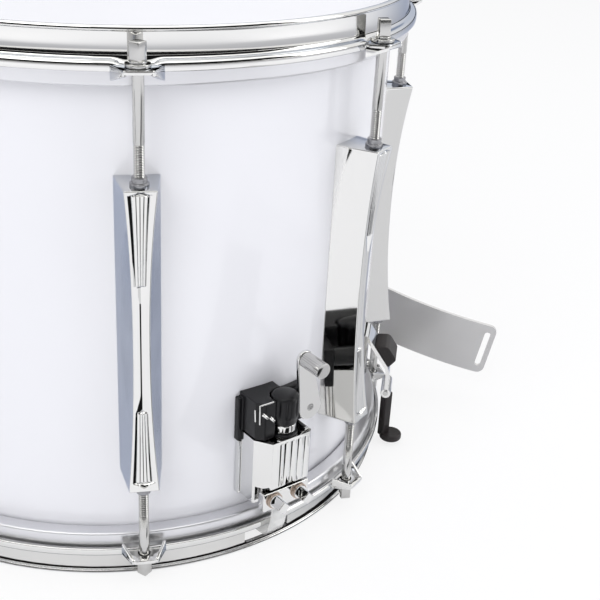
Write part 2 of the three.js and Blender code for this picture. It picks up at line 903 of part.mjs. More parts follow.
// A strap runs from the wires through the gate, round the hoop's skirt and up into the clamp
function strapGeometry() {
  const skirtFoot = flangeDepth + skirtDepth;
  const upStart = jawLow - throwTravel - clampTravel - strapThickness;
  const outside = hoopOuter + strapOutset;
  const route = [
    [wireReach + touchGap, strapMiddle],
    [hoopInner + hoopSheet, strapMiddle],
    [outside, strapMiddle + strapOutset],
    [(outside + strapRadius) / 2, (strapMiddle + skirtFoot) / 2 + strapOutset],
    [strapRadius, Math.min(skirtFoot + 2 * strapOutset, upStart)],
    [strapRadius, clampPlateHigh - strapThickness],
  ];
  return sideways(band(route, strapThickness), -strapHalf, strapHalf);
}

function addSnares() {
  const near = at(strainerAzimuth);
  const far = at(strainerAzimuth + 180);
  add('snare_wires', wiresGeometry(), finishes.steel, near);
  add('strainer_strap', strapGeometry(), finishes.strap, near);
  add('butt_strap', strapGeometry(), finishes.strap, far);
}

// Leg rest: its hinge leans, and the plate's frame has the pin along +Z and hangs down from there
function legFrame() {
  const lean = legLean * degree;
  const towards = legLeanAzimuth * degree;
  const pin = new THREE.Vector3(
    Math.sin(lean) * Math.sin(towards),
    -Math.sin(lean) * Math.cos(towards),
    Math.cos(lean),
  );
  const across = new THREE.Vector3(1, 0, 0).addScaledVector(pin, -pin.x).normalize();
  const along = pin.clone().cross(across);
  const out = shellRadius + legHingeOutset;
  const turn = legAzimuth * degree;
  const frame = new THREE.Matrix4().makeBasis(across, along, pin);
  return frame.setPosition(out * Math.sin(turn), -out * Math.cos(turn), legHingeHeight);
}

// Where the plate's middle line is, and which way it heads, a given length from the hinge
function legStation(length) {
  const start = legStartAngle * degree;
  const heading = start + length / legBendRadius;
  const centre = new THREE.Vector2(-Math.sin(start), Math.cos(start)).multiplyScalar(legBendRadius);
  const out = new THREE.Vector2(Math.sin(heading), -Math.cos(heading)).multiplyScalar(legBendRadius);
  return { centre, heading, point: centre.clone().add(out) };
}

// A cutter through the plate, drawn flat on it at a given length from the hinge
function throughPlate(shape, length, height) {
  const { heading, point } = legStation(length);
  const options = { depth: 2 * overrun, bevelEnabled: false, curveSegments: legArcSteps };
  const cutter = new THREE.ExtrudeGeometry(shape, options);
  cutter.translate(0, 0, -overrun).rotateX(Math.PI / 2).rotateZ(heading);
  return cutter.translate(point.x, point.y, height);
}

function legSlot() {
  const radius = legSlotWidth / 2;
  const straight = legSlotLength / 2 - radius;
  const shape = new THREE.Shape();
  shape.absarc(0, straight, radius, 0, Math.PI, false);
  shape.absarc(0, -straight, radius, Math.PI, 2 * Math.PI, false);
  return throughPlate(shape, legLength - legSlotInset, -legWidth / 2);
}

function legCornerCut(side) {
  const shape = new THREE.Shape();
  shape.moveTo(-legCorner, side * overrun);
  shape.lineTo(overrun, side * overrun);
  shape.lineTo(overrun, -side * legCorner);
  shape.absarc(-legCorner, -side * legCorner, legCorner, 0, (side * Math.PI) / 2, side < 0);
  return throughPlate(shape, legLength, side > 0 ? 0 : -legWidth);
}

function standing(radius, low, high, sides = roundSides) {
  return post(radius, 0, 0, low, high, sides);
}

function legPlateGeometry() {
  const first = legStation(0);
  const from = first.heading - Math.PI / 2;
  const to = from + legLength / legBendRadius;
  const outer = legBendRadius + legSheet / 2;
  const inner = legBendRadius - legSheet / 2;
  const shape = new THREE.Shape();
  shape.absarc(first.centre.x, first.centre.y, outer, from, to, false);
  shape.absarc(first.centre.x, first.centre.y, inner, to, from, true);
  const options = { depth: legWidth, bevelEnabled: false, curveSegments: legBendSteps };
  const strip = new THREE.ExtrudeGeometry(shape, options).translate(0, 0, -legWidth);
  const notch = knuckleRadius + knuckleNotch;
  const upper = knuckleLength - knuckleStandout;
  const high = -upper - touchGap;
  const low = upper + touchGap - legWidth;
  const open = cut(
    strip,
    standing(notch, high, overrun),
    standing(notch, -legWidth - overrun, low),
    legSlot(),
    legCornerCut(1),
    legCornerCut(-1),
  );
  const knuckle = standing(knuckleRadius, low, high);
  return cut(joined(open, knuckle), standing(legPinRadius + touchGap, -legWidth - overrun, overrun));
}

function legMountGeometry(frame) {
  const upper = knuckleLength - knuckleStandout;
  const reach = legHingeOutset + seatDepth / 2;
  const inward = new THREE.Vector3(0, 0, legHingeHeight).applyMatrix4(frame.clone().invert());
  const pieces = [];
  const spans = [[-upper, knuckleStandout], [-knuckleStandout - legWidth, upper - legWidth]];
  spans.forEach(([from, to]) => {
    const web = block(-webHalf, webHalf, 0, reach, from, to);
    web.rotateZ(Math.atan2(inward.y, inward.x) + Math.PI / 2);
    pieces.push(joined(standing(knuckleRadius, from, to), web).applyMatrix4(frame));
  });
  const low = legHingeHeight - legWidth - legBaseMargin;
  const high = legHingeHeight + legBaseMargin;
  const base = block(-legBaseLeft, legBaseRight, wallFace - seatDepth, wallFace + legBaseSheet, low, high);
  const bore = standing(legPinRadius + touchGap, -legWidth - overrun, overrun).applyMatrix4(frame);
  return seated(cut(joined(base.rotateZ(legAzimuth * degree), ...pieces), bore));
}

function addLegRest() {
  const frame = legFrame();
  const tilted = new THREE.Group();
  tilted.applyMatrix4(frame);
  drum.add(tilted);
  const pinEnd = knuckleStandout + legPinStandout;
  add('leg_rest_mount', legMountGeometry(frame), finishes.satinAluminium);
  add('leg_rest_plate', legPlateGeometry(), finishes.satinAluminium, tilted);
  add('leg_rest_pin', standing(legPinRadius, -legWidth - pinEnd, pinEnd, pinSides), finishes.steel, tilted);
}

// Bracket: a sheet bent down from its crest along an incline and then straight down to the hook's hinge
function inclinePoint(down, out) {
  const angle = inclineAngle * degree;
  const radius = wallFace + bracketSheet + down * Math.sin(angle) + out * Math.cos(angle);
  return [radius, bracketCrest - down * Math.cos(angle) + out * Math.sin(angle)];
}

function bracketGeometry() {
  const angle = inclineAngle * degree;
  const base = wallFace + bracketSheet;
  const face = wallFace + bracketReach;
  const back = face - bracketSheet;
  const slope = 1 / Math.tan(angle);
  const innerCrest = bracketCrest - bracketSheet / Math.sin(angle);
  const section = [
    [wallFace - seatDepth, bracketLow],
    [base, bracketLow],
    [base, innerCrest],
    [back, innerCrest - (back - base) * slope],
    [back, hookPivotHeight],
    [face, hookPivotHeight],
    [face, bracketCrest - (face - base) * slope],
    [base, bracketCrest],
    [wallFace - seatDepth, bracketCrest],
  ];
  const opening = hookKnuckleHalf + touchGap;
  const room = hookKnuckleRadius + 2 * touchGap;
  const inner = hookAxis - room;
  const outer = hookAxis + room;
  const low = hookPivotHeight - room;
  const side = bracketHalf + overrun;
  const whole = joined(
    sideways(section, -bracketHalf, bracketHalf),
    roller(hookKnuckleRadius, hookAxis, hookPivotHeight, -bracketHalf, bracketHalf),
  );
  return seated(cut(
    whole,
    block(-opening, opening, inner, outer, low, hookPivotHeight + room),
    roller(hookPinRadius + touchGap, hookAxis, hookPivotHeight, -side, side, pinSides),
  ));
}

function padGeometry() {
  const end = padStart + padLength;
  return sideways([
    inclinePoint(padStart, touchGap),
    inclinePoint(end, touchGap),
    inclinePoint(end - padTopBevel / 2, padThickness),
    inclinePoint(padStart + padTopBevel, padThickness),
  ], -bracketHalf, bracketHalf);
}

// Hook: a chrome knuckle with a tab, and the dipped black arm with its round foot
function addHook(place) {
  const tabLow = hookPivotHeight - tabDrop;
  const tabHigh = hookPivotHeight - tabDrop / 2;
  const half = hookKnuckleHalf;
  const side = half + overrun;
  const arm = joined(
    roller(hookKnuckleRadius, hookAxis, hookPivotHeight, -half, half),
    block(-half, half, hookAxis - tabDepth / 2, hookAxis + tabDepth / 2, tabLow, tabHigh),
  );
  const bore = roller(hookPinRadius + touchGap, hookAxis, hookPivotHeight, -side, side, pinSides);
  const corner = sleeveAcross / 2;
  const bar = upright([
    [0, sleeveAxis - corner],
    [corner, sleeveAxis],
    [0, sleeveAxis + corner],
    [-corner, sleeveAxis],
  ], sleeveFoot + footHeight / 2, tabLow - touchGap);
  const foot = post(footRadius, 0, sleeveAxis + footOutset, sleeveFoot, sleeveFoot + footHeight);
  add('hook_arm', cut(arm, bore), finishes.chrome, place);
  add('hook_sleeve', joined(bar, foot), finishes.blackRubber, place);
}

function addHookBracket() {
  const place = at(hookAzimuth);
  const pin = roller(hookPinRadius, hookAxis, hookPivotHeight, -bracketHalf, bracketHalf, pinSides);
  add('hook_bracket', bracketGeometry(), finishes.chrome, place);
  add('bumper_pad', padGeometry(), finishes.blackRubber, place);
  add('hook_pin', pin, finishes.steel, place);
  addHook(place);
}

addShell();
addGrommet();
addHeads();
addHoops();
addRods();
addLugs();
addStrainer();
addButt();
addSnares();
addLegRest();
addHookBracket();

export default drum;
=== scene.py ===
"""Marching snare drum: the visible pieces, their finishes and the studio around them.

Lengths are in metres. Heights are counted from the plane of the lower rim and set down at the end, and
the azimuths run counter-clockwise seen from above, from the first lug on the -Y side.
"""

import math

import bmesh
import bpy
from mathutils import Matrix, Vector


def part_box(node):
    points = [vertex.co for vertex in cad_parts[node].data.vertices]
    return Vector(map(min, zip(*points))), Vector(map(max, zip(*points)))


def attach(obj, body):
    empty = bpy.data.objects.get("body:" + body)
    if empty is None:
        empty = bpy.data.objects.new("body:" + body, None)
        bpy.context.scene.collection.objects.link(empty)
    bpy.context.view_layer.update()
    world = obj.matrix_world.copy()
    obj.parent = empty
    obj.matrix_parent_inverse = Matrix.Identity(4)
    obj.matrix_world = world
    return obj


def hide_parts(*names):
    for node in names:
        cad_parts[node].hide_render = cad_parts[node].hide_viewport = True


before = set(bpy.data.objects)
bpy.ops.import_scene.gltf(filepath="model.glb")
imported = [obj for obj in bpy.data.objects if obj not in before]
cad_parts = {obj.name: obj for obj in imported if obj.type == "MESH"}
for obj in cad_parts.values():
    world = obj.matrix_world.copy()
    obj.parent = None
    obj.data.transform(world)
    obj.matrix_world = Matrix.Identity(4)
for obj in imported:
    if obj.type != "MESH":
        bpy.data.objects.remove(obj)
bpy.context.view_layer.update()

bl_info = {
    "name": "Marching snare drum",
    "version": (1, 0, 0),
    "blender": (4, 5, 0),
    "location": "View3D > Sidebar > Drum",
    "description": "Builds a marching snare drum piece by piece, with its finishes and a plain studio",
    "category": "Add Mesh",
}

MM = 0.001
TURN = 2 * math.pi
MERGE = 1e-6
SHARP = math.radians(32)
RING_STEPS = 288
STATIONS = 8
STRAINER = 25
BUTT = 205
LEG_REST = 110
HOOK = 70
VENT = 270
WALL = 178.3 * MM
LAID = Matrix.Rotation(math.pi / 2, 4, "X")

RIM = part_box("snare_hoop")[0].z
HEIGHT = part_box("batter_hoop")[1].z - RIM
SHELL_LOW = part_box("shell")[0].z - RIM
SHELL_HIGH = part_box("shell")[1].z - RIM
HEAD_DEPTH = HEIGHT + RIM


# Sizes and colours


def length(name, text, value):
    """A size in metres that the sidebar shows."""
    return bpy.props.FloatProperty(name=name, description=text, default=value, unit="LENGTH", precision=5)


def colour(name, text, value):
    """A linear colour that the sidebar shows."""
    return bpy.props.FloatVectorProperty(
        name=name, description=text, default=value, size=3, subtype="COLOR", min=0, max=1
    )


class ShellSizes(bpy.types.PropertyGroup):
    radius: length("Radius", "Outside radius of the shell", 178 * MM)
    wall: length("Wall", "Thickness of the shell", 7 * MM)
    bevel: length("Bearing bevel", "Width of the bevel inside the bearing edge", 4 * MM)
    vent: length("Vent", "Radius of the vent hole", 6.3 * MM)


class HeadSizes(bpy.types.PropertyGroup):
    film: length("Film", "Thickness of the film", 0.5 * MM)
    collar: length("Collar", "Depth of the film's collar", 15.3 * MM)
    bend: length("Collar bend", "Rounding of the film over the bearing edge", 2.6 * MM)
    hoop_width: length("Flesh hoop width", "Width of the flesh hoop", 9.4 * MM)
    hoop_height: length("Flesh hoop height", "Height of the flesh hoop", 10.9 * MM)


class HoopSizes(bpy.types.PropertyGroup):
    inner: length("Inner radius", "Inside radius of the hoop's wall", 185.1 * MM)
    outer: length("Outer radius", "Outside radius of the skirt", 192.5 * MM)
    sheet: length("Sheet", "Thickness of the pressed sheet", 2.3 * MM)
    flange: length("Flange depth", "Depth of the flange below the rim", 16 * MM)
    skirt: length("Skirt", "Height of the skirt", 5.3 * MM)
    bead: length("Bead", "Width of the rolled rim", 3.6 * MM)
    bead_height: length("Bead height", "Height of the rolled rim", 2.6 * MM)
    ear_drop: length("Ear drop", "How far the ears lie below the flange", 1.8 * MM)
    ear_reach: length("Ear reach", "Distance from the rod to the ear's tip", 8.5 * MM)


class RodSizes(bpy.types.PropertyGroup):
    circle: length("Rod circle", "Distance of the rods from the drum's axis", 195.5 * MM)
    radius: length("Radius", "Radius of the rod", 3 * MM)
    head: length("Key head", "Width of the square head across its flats", 6.35 * MM)
    pitch: length("Thread pitch", "Distance between the turns of the thread", 1.3 * MM)
    washer: length("Washer", "Radius of the washer under the head", 6.6 * MM)
    threaded: length("Thread length", "Length of the thread outside the lug", 22 * MM)


class LugSizes(bpy.types.PropertyGroup):
    low: length("Foot", "Height of the lug's lower end", 69 * MM)
    high: length("Head", "Height of the lug's upper end", 250 * MM)
    base: length("Base", "Half the lug's width on the shell", 12.2 * MM)
    end_half: length("End half width", "Half the front's width at the ends", 8.65 * MM)
    waist_half: length("Waist half width", "Half the front's width at the waist", 4.75 * MM)
    end_depth: length("End depth", "Depth of the lug at its ends", 25 * MM)
    waist_depth: length("Waist depth", "Depth of the lug at its waist", 18.3 * MM)
    edge: length("Edge", "Rounding of the front edges", 0.7 * MM)


class StrainerSizes(bpy.types.PropertyGroup):
    knob: length("Knob", "Radius of the tension knob", 8.6 * MM)
    flute: length("Flute", "Depth of the knob's flutes", 0.8 * MM)
    rib: length("Rib", "Height of the rounded ribs on the housing", 0.45 * MM)
    edge: length("Edge", "Rounding of the castings' edges", 0.7 * MM)


class SnareSizes(bpy.types.PropertyGroup):
    reach: length("Reach", "Half the length of the snare wires", 165 * MM)
    coil: length("Coil", "Radius of one coiled strand", 0.8 * MM)
    wire: length("Wire", "Radius of the wire", 0.24 * MM)
    strap: length("Strap", "Half the strap's width", 6.2 * MM)
    strap_sheet: length("Strap thickness", "Thickness of the strap", 0.8 * MM)


class LegRestSizes(bpy.types.PropertyGroup):
    reach: length("Length", "Length of the plate along its bend", 144 * MM)
    width: length("Width", "Height of the plate", 45 * MM)
    sheet: length("Sheet", "Thickness of the plate", 2.5 * MM)
    bend: length("Bend radius", "Radius of the plate's bend", 256 * MM)
    corner: length("Corner", "Radius of the plate's corners", 6 * MM)


class HookSizes(bpy.types.PropertyGroup):
    sheet: length("Sheet", "Thickness of the bracket", 2.5 * MM)
    half: length("Half width", "Half the bracket's width", 11 * MM)
    pad: length("Pad", "Thickness of the bumper pad", 8.1 * MM)
    bar: length("Bar", "Width of the dipped bar across its corners", 9 * MM)


class FinishColours(bpy.types.PropertyGroup):
    lacquer: colour("Lacquer", "Gloss white of the shell", (0.83, 0.83, 0.855))
    film: colour("Film", "Coated white of the heads", (0.86, 0.86, 0.88))
    chrome: colour("Chrome", "Bright plating", (0.80, 0.795, 0.775))
    chrome_edge: colour("Chrome at the edges", "Bright plating seen at a slant", (0.52, 0.57, 0.68))
    steel: colour("Steel", "Plated rods and screws", (0.6, 0.595, 0.58))
    aluminium: colour("Aluminium", "Satin sheet of the leg rest", (0.74, 0.735, 0.73))
    plastic: colour("Plastic", "Moulded black", (0.007, 0.007, 0.008))
    rubber: colour("Rubber", "Dipped black", (0.016, 0.012, 0.012))
    copper: colour("Copper", "Thin washers under the clamp screws", (0.5, 0.4, 0.33))
    haze: colour("Hazy film", "Snare head", (0.72, 0.72, 0.74))
    ring: colour("Flesh hoops", "Aluminium of the heads' rings", (0.78, 0.78, 0.8))
    wire: colour("Wire", "Coiled snare wires", (0.6, 0.6, 0.6))
    nut: colour("Nuts", "Swivel nuts in the lugs", (0.32, 0.32, 0.33))
    strap: colour("Strap", "Clear straps of the snares", (0.86, 0.86, 0.84))


class StageSizes(bpy.types.PropertyGroup):
    floor: length("Floor", "Half the floor's width", 6)
    softbox: length("Softbox", "Width of the softboxes", 1.6)


# Shapes


def spot(across, out, height):
    """A point on the wall: across it to the right, out from the axis, and up from the lower rim."""
    return Vector((across, -out, height))


def loop(bm, points, closed=True):
    """A wire through the points."""
    verts = [bm.verts.new(point) for point in points]
    ends = verts[1:] + verts[:1] if closed else verts[1:]
    for pair in zip(verts, ends):
        bm.edges.new(pair)
    return verts


def round_corners(bm, verts, roundings, segments):
    """Round the corners of a wire, each by its own radius."""
    for vert, rounding in zip(verts, roundings):
        if rounding:
            bmesh.ops.bevel(
                bm, geom=[vert], offset=rounding, offset_type="OFFSET", segments=segments,
                profile=0.5, affect="VERTICES", material=-1,
            )


def edge_angle(edge):
    return edge.calc_face_angle(0) if len(edge.link_faces) == 2 else 0


def soften(bm, width, segments=2):
    """Bevel every sharp edge."""
    if width:
        sharp = [edge for edge in bm.edges if edge_angle(edge) > SHARP]
        bmesh.ops.bevel(
            bm, geom=sharp, offset=width, offset_type="OFFSET", segments=segments,
            profile=0.5, affect="EDGES", material=-1, clamp_overlap=True,
        )
    return bm


def turned(section, steps=96, closed=True, segments=3):
    """A ring or disc spun about the axis from (radius, height, rounding) points."""
    bm = bmesh.new()
    verts = loop(bm, [(0, -radius, height) for radius, height, _ in section], closed)
    round_corners(bm, verts, [rounding for _, _, rounding in section], segments)
    bmesh.ops.spin(
        bm, geom=bm.verts[:] + bm.edges[:], cent=(0, 0, 0), axis=(0, 0, 1), angle=TURN, steps=steps,
        use_merge=True,
    )
    bmesh.ops.remove_doubles(bm, verts=bm.verts, dist=MERGE)
    bmesh.ops.recalc_face_normals(bm, faces=bm.faces)
    return bm


def prism(corners, rise, edge=0, segments=2, rounding_segments=4, holes=()):
    """A solid raised by the vector rise from a flat outline of (point, rounding) corners."""
    bm = bmesh.new()
    for outline in (corners, *holes):
        verts = loop(bm, [point for point, _ in outline])
        round_corners(bm, verts, [rounding for _, rounding in outline], rounding_segments)
    if holes:
        bmesh.ops.triangle_fill(bm, use_beauty=True, use_dissolve=False, edges=bm.edges)
    else:
        bmesh.ops.edgeloop_fill(bm, edges=bm.edges)
    raised = bmesh.ops.extrude_face_region(bm, geom=bm.faces[:])["geom"]
    bmesh.ops.translate(bm, verts=[v for v in raised if isinstance(v, bmesh.types.BMVert)], vec=rise)
    bmesh.ops.recalc_face_normals(bm, faces=bm.faces)
    return soften(bm, edge, segments)


def outward(corners, inner, outer, edge=0, **more):
    """A plate with an outline of (across, height, rounding) corners, from one radius to another."""
    points = [(spot(across, inner, height), rounding) for across, height, rounding in corners]
    return prism(points, spot(0, outer - inner, 0), edge, **more)


def upright(corners, low, high, edge=0, **more):
    """A prism with a plan of (across, out, rounding) corners, from one height to another."""
    points = [(spot(across, out, low), rounding) for across, out, rounding in corners]
    return prism(points, Vector((0, 0, high - low)), edge, **more)


def sideways(corners, left, right, edge=0, **more):
    """A bent strip with a section of (out, height, rounding) corners, from left to right."""
    points = [(spot(left, out, height), rounding) for out, height, rounding in corners]
    return prism(points, Vector((right - left, 0, 0)), edge, **more)


def oblong(left, right, low, high, rounding=0):
    return [(left, low, rounding), (right, low, rounding), (right, high, rounding), (left, high, rounding)]


def bar(start, end, radius, sides=32, edge=0, segments=2):
    """A round or square bar between two points."""
    bm = bmesh.new()
    span = end - start
    bmesh.ops.create_cone(
        bm, cap_ends=True, segments=sides, radius1=radius, radius2=radius, depth=span.length
    )
    turn = span.to_track_quat("Z", "Y").to_matrix().to_4x4()
    return soften(moved(bm, Matrix.Translation((start + end) / 2) @ turn), edge, segments)


def post(across, out, low, high, radius, **more):
    return bar(spot(across, out, low), spot(across, out, high), radius, **more)


def stub(across, height, inner, outer, radius, **more):
    return bar(spot(across, inner, height), spot(across, outer, height), radius, **more)


def facing(azimuth):
    """The turn from the -Y side to an azimuth in degrees."""
    return Matrix.Rotation(math.radians(azimuth), 4, "Z")


def moved(bm, matrix):
    bmesh.ops.transform(bm, matrix=matrix, verts=bm.verts)
    if matrix.determinant() < 0:
        bmesh.ops.reverse_faces(bm, faces=bm.faces)
    return bm


def gathered(shapes):
    """One mesh from several, which are used up."""
    whole = bmesh.new()
    for shape in shapes:
        part = bpy.data.meshes.new("part")
        shape.to_mesh(part)
        shape.free()
        whole.from_mesh(part)
        bpy.data.meshes.remove(part)
    return whole


def repeated(bm, matrices):
    """Copies of a mesh, one for each matrix."""
    return gathered([moved(bm.copy(), matrix) for matrix in matrices])


def loose_object(name, bm):
    mesh = bpy.data.meshes.new(name)
    bm.to_mesh(mesh)
    bm.free()
    obj = bpy.data.objects.new(name, mesh)
    bpy.context.scene.collection.objects.link(obj)
    return obj


def carved(bm, *cutters):
    """The mesh with the cutters' space taken out."""
    body = loose_object("carved", bm)
    tools = [loose_object("cutter", cutter) for cutter in cutters]
    for tool in tools:
        step = body.modifiers.new("cut", "BOOLEAN")
        step.operation = "DIFFERENCE"
        step.solver = "EXACT"
        step.object = tool
    graph = bpy.context.evaluated_depsgraph_get()
    result = bmesh.new()
    result.from_mesh(body.evaluated_get(graph).to_mesh())
    for obj in (body, *tools):
        mesh = obj.data
        bpy.data.objects.remove(obj)
        bpy.data.meshes.remove(mesh)
    return result


def refined(node, width, azimuth, segments=2):
    """A copy of a CAD node, laid back on the -Y side and with softened edges."""
    bm = bmesh.new()
    bm.from_mesh(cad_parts[node].data)
    bmesh.ops.remove_doubles(bm, verts=bm.verts, dist=MERGE)
    bmesh.ops.dissolve_limit(bm, angle_limit=math.radians(1), verts=bm.verts, edges=bm.edges)
    moved(bm, facing(-azimuth) @ Matrix.Translation((0, 0, -RIM)))
    return soften(bm, width, segments)


def eased(share):
    """A share from 0 to 1 with soft ends."""
    share = min(max(share, 0), 1)
    return share * share * (3 - 2 * share)


def eased_line(value, start, end):
    """0 before the start, 1 beyond the end, and a soft slope between."""
    return eased((value - start) / (end - start)) if end > start else float(value >= end)


def smooth(bm, limit):
    """Smooth shading, with the edges above the limit kept sharp."""
    for face in bm.faces:
        face.smooth = True
    for edge in bm.edges:
        edge.smooth = edge_angle(edge) < math.radians(limit)


def piece(name, shapes, finish, body, nodes=(), azimuth=0, limit=38, weighted=True):
    """Put the shapes in place as one named piece that rides on a body and stands for CAD nodes."""
    bm = gathered(shapes)
    moved(bm, Matrix.Translation((0, 0, RIM)) @ facing(azimuth))
    smooth(bm, limit)
    obj = loose_object(name, bm)
    obj.data.materials.append(material(finish))
    if weighted:
        step = obj.modifiers.new("even shading", "WEIGHTED_NORMAL")
        step.keep_sharp = True
    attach(obj, body)
    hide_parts(*nodes)
    return obj


def stations():
    for station in range(STATIONS):
        yield station + 1, station * 360 / STATIONS


def for_batter(bm):
    """A piece of the snare end, turned over for the batter end."""
    flip = Matrix.Translation((0, 0, HEIGHT)) @ Matrix.Scale(-1, 4, (0, 0, 1))
    return moved(bm, flip)


# Finishes


def set_inputs(node, **values):
    for label, value in values.items():
        node.inputs[label.replace("_", " ")].default_value = value
    return node


def new_node(tree, kind, **values):
    """A new shader node with some of its inputs set."""
    return set_inputs(tree.nodes.new(f"ShaderNode{kind}"), **values)


def group_tree(name, inputs, outputs):
    """An empty shader group with named float sockets."""
    tree = bpy.data.node_groups.new(name, "ShaderNodeTree")
    for label, value in inputs:
        socket = tree.interface.new_socket(label, in_out="INPUT", socket_type="NodeSocketFloat")
        socket.default_value = value
    for label in outputs:
        tree.interface.new_socket(label, in_out="OUTPUT", socket_type="NodeSocketFloat")
    return tree, tree.nodes.new("NodeGroupInput"), tree.nodes.new("NodeGroupOutput")


def handling_marks():
    """Soft clouds of wiping and fine hairlines: a roughness and a height."""
    if "Handling marks" in bpy.data.node_groups:
        return bpy.data.node_groups["Handling marks"]
    inputs = [("Scale", 30), ("Low", 0.05), ("High", 0.15)]
    tree, entry, leave = group_tree("Handling marks", inputs, ["Roughness", "Height"])
    link = tree.links.new
    place = new_node(tree, "TexCoord")
    clouds = new_node(tree, "TexNoise", Detail=6, Roughness=0.65)
    fine = new_node(tree, "TexNoise", Scale=900, Detail=2)
    spread = new_node(tree, "MapRange", From_Min=0.35, From_Max=0.7)
    link(place.outputs["Object"], clouds.inputs["Vector"])
    link(place.outputs["Object"], fine.inputs["Vector"])
    link(entry.outputs["Scale"], clouds.inputs["Scale"])
    link(clouds.outputs["Fac"], spread.inputs["Value"])
    link(entry.outputs["Low"], spread.inputs["To Min"])
    link(entry.outputs["High"], spread.inputs["To Max"])
    link(spread.outputs["Result"], leave.inputs["Roughness"])
    link(fine.outputs["Fac"], leave.inputs["Height"])
    return tree


def surface_grain():
    """Even grain of a coating or moulding, with slow colour drift: a mask and a height."""
    if "Surface grain" in bpy.data.node_groups:
        return bpy.data.node_groups["Surface grain"]
    inputs = [("Grain scale", 1500), ("Drift scale", 8)]
    tree, entry, leave = group_tree("Surface grain", inputs, ["Drift", "Height"])
    place = new_node(tree, "TexCoord")
    for detail, scale, output in ((3, "Grain scale", "Height"), (4, "Drift scale", "Drift")):
        noise = new_node(tree, "TexNoise", Detail=detail)
        tree.links.new(place.outputs["Object"], noise.inputs["Vector"])
        tree.links.new(entry.outputs[scale], noise.inputs["Scale"])
        tree.links.new(noise.outputs["Fac"], leave.inputs[output])
    return tree


def new_material(name):
    """A material with its Principled shader."""
    mat = bpy.data.materials.new(name)
    mat.use_nodes = True
    return mat, mat.node_tree, mat.node_tree.nodes["Principled BSDF"]


def bump(tree, shader, height, strength, distance):
    node = new_node(tree, "Bump", Strength=strength, Distance=distance)
    tree.links.new(height, node.inputs["Height"])
    tree.links.new(node.outputs["Normal"], shader.inputs["Normal"])


def placed_group(tree, group, **values):
    node = tree.nodes.new("ShaderNodeGroup")
    node.node_tree = group
    return set_inputs(node, **values)


def plated(name, tint, low, high, scale=60, strength=0.04, edge=(1, 1, 1)):
    """Metal with wiping marks in its roughness and a trace of unevenness."""
    mat, tree, shader = new_material(name)
    set_inputs(shader, Base_Color=(*tint, 1), Specular_Tint=(*edge, 1), Metallic=1)
    marks = placed_group(tree, handling_marks(), Scale=scale, Low=low, High=high)
    tree.links.new(marks.outputs["Roughness"], shader.inputs["Roughness"])
    bump(tree, shader, marks.outputs["Height"], strength, 0.02 * MM)
    return mat


def drifting(tree, shader, drift, first, second):
    """A base colour that wanders between two shades."""
    ramp = tree.nodes.new("ShaderNodeValToRGB")
    for stop, position, shade in zip(ramp.color_ramp.elements, (0.35, 0.65), (first, second)):
        stop.position = position
        stop.color = (*shade, 1)
    tree.links.new(drift, ramp.inputs["Fac"])
    tree.links.new(ramp.outputs["Color"], shader.inputs["Base Color"])


def coated(name, tint, shade, roughness, grain, drift, strength, distance, metallic=0, coat=0, gloss=0.5):
    """Moulded, coated or satin surface: grain in its relief and drift in its colour."""
    mat, tree, shader = new_material(name)
    set_inputs(shader, Roughness=roughness, Metallic=metallic, Specular_IOR_Level=gloss)
    set_inputs(shader, Coat_Weight=coat, Coat_Roughness=0.04)
    node = placed_group(tree, surface_grain(), Grain_scale=grain, Drift_scale=drift)
    darker = tuple(channel * shade for channel in tint)
    drifting(tree, shader, node.outputs["Drift"], darker, tint)
    bump(tree, shader, node.outputs["Height"], strength, distance * MM)
    return mat


def clear(mat, alpha):
    """The same material, partly seen through."""
    set_inputs(mat.node_tree.nodes["Principled BSDF"], Alpha=alpha)
    return mat


def material(name):
    """The named finish, made the first time that it is asked for."""
    if name in bpy.data.materials:
        return bpy.data.materials[name]
    tints = bpy.context.scene.drum_finishes
    recipes = {
        "White lacquer": lambda: coated(name, tints.lacquer, 0.985, 0.16, 260, 6, 0.03, 0.05, coat=0.6),
        "Coated film": lambda: coated(name, tints.film, 0.98, 0.55, 2200, 9, 0.25, 0.03),
        "Hazy film": lambda: coated(name, tints.haze, 0.97, 0.3, 300, 5, 0.04, 0.03),
        "Flesh hoop aluminium": lambda: coated(name, tints.ring, 0.95, 0.3, 600, 20, 0.1, 0.02, metallic=1),
        "Chrome": lambda: plated(name, tints.chrome, 0.03, 0.065, 24, 0.02, tints.chrome_edge),
        "Rod steel": lambda: plated(name, tints.steel, 0.1, 0.2, strength=0.05),
        "Wire steel": lambda: plated(name, tints.wire, 0.2, 0.35),
        "Nut steel": lambda: plated(name, tints.nut, 0.16, 0.28),
        "Copper washer": lambda: plated(name, tints.copper, 0.25, 0.4),
        "Moulded black": lambda: coated(name, tints.plastic, 0.6, 0.3, 1800, 40, 0.2, 0.04, gloss=0.3),
        "Dipped black": lambda: coated(name, tints.rubber, 0.6, 0.4, 900, 60, 0.25, 0.06, gloss=0.4),
        "Satin aluminium": lambda: coated(name, tints.aluminium, 0.93, 0.42, 700, 12, 0.12, 0.03, metallic=1),
        "Clear strap": lambda: clear(coated(name, tints.strap, 0.96, 0.2, 500, 30, 0.1, 0.03), 0.45),
    }
    return recipes[name]()


# Shell and heads


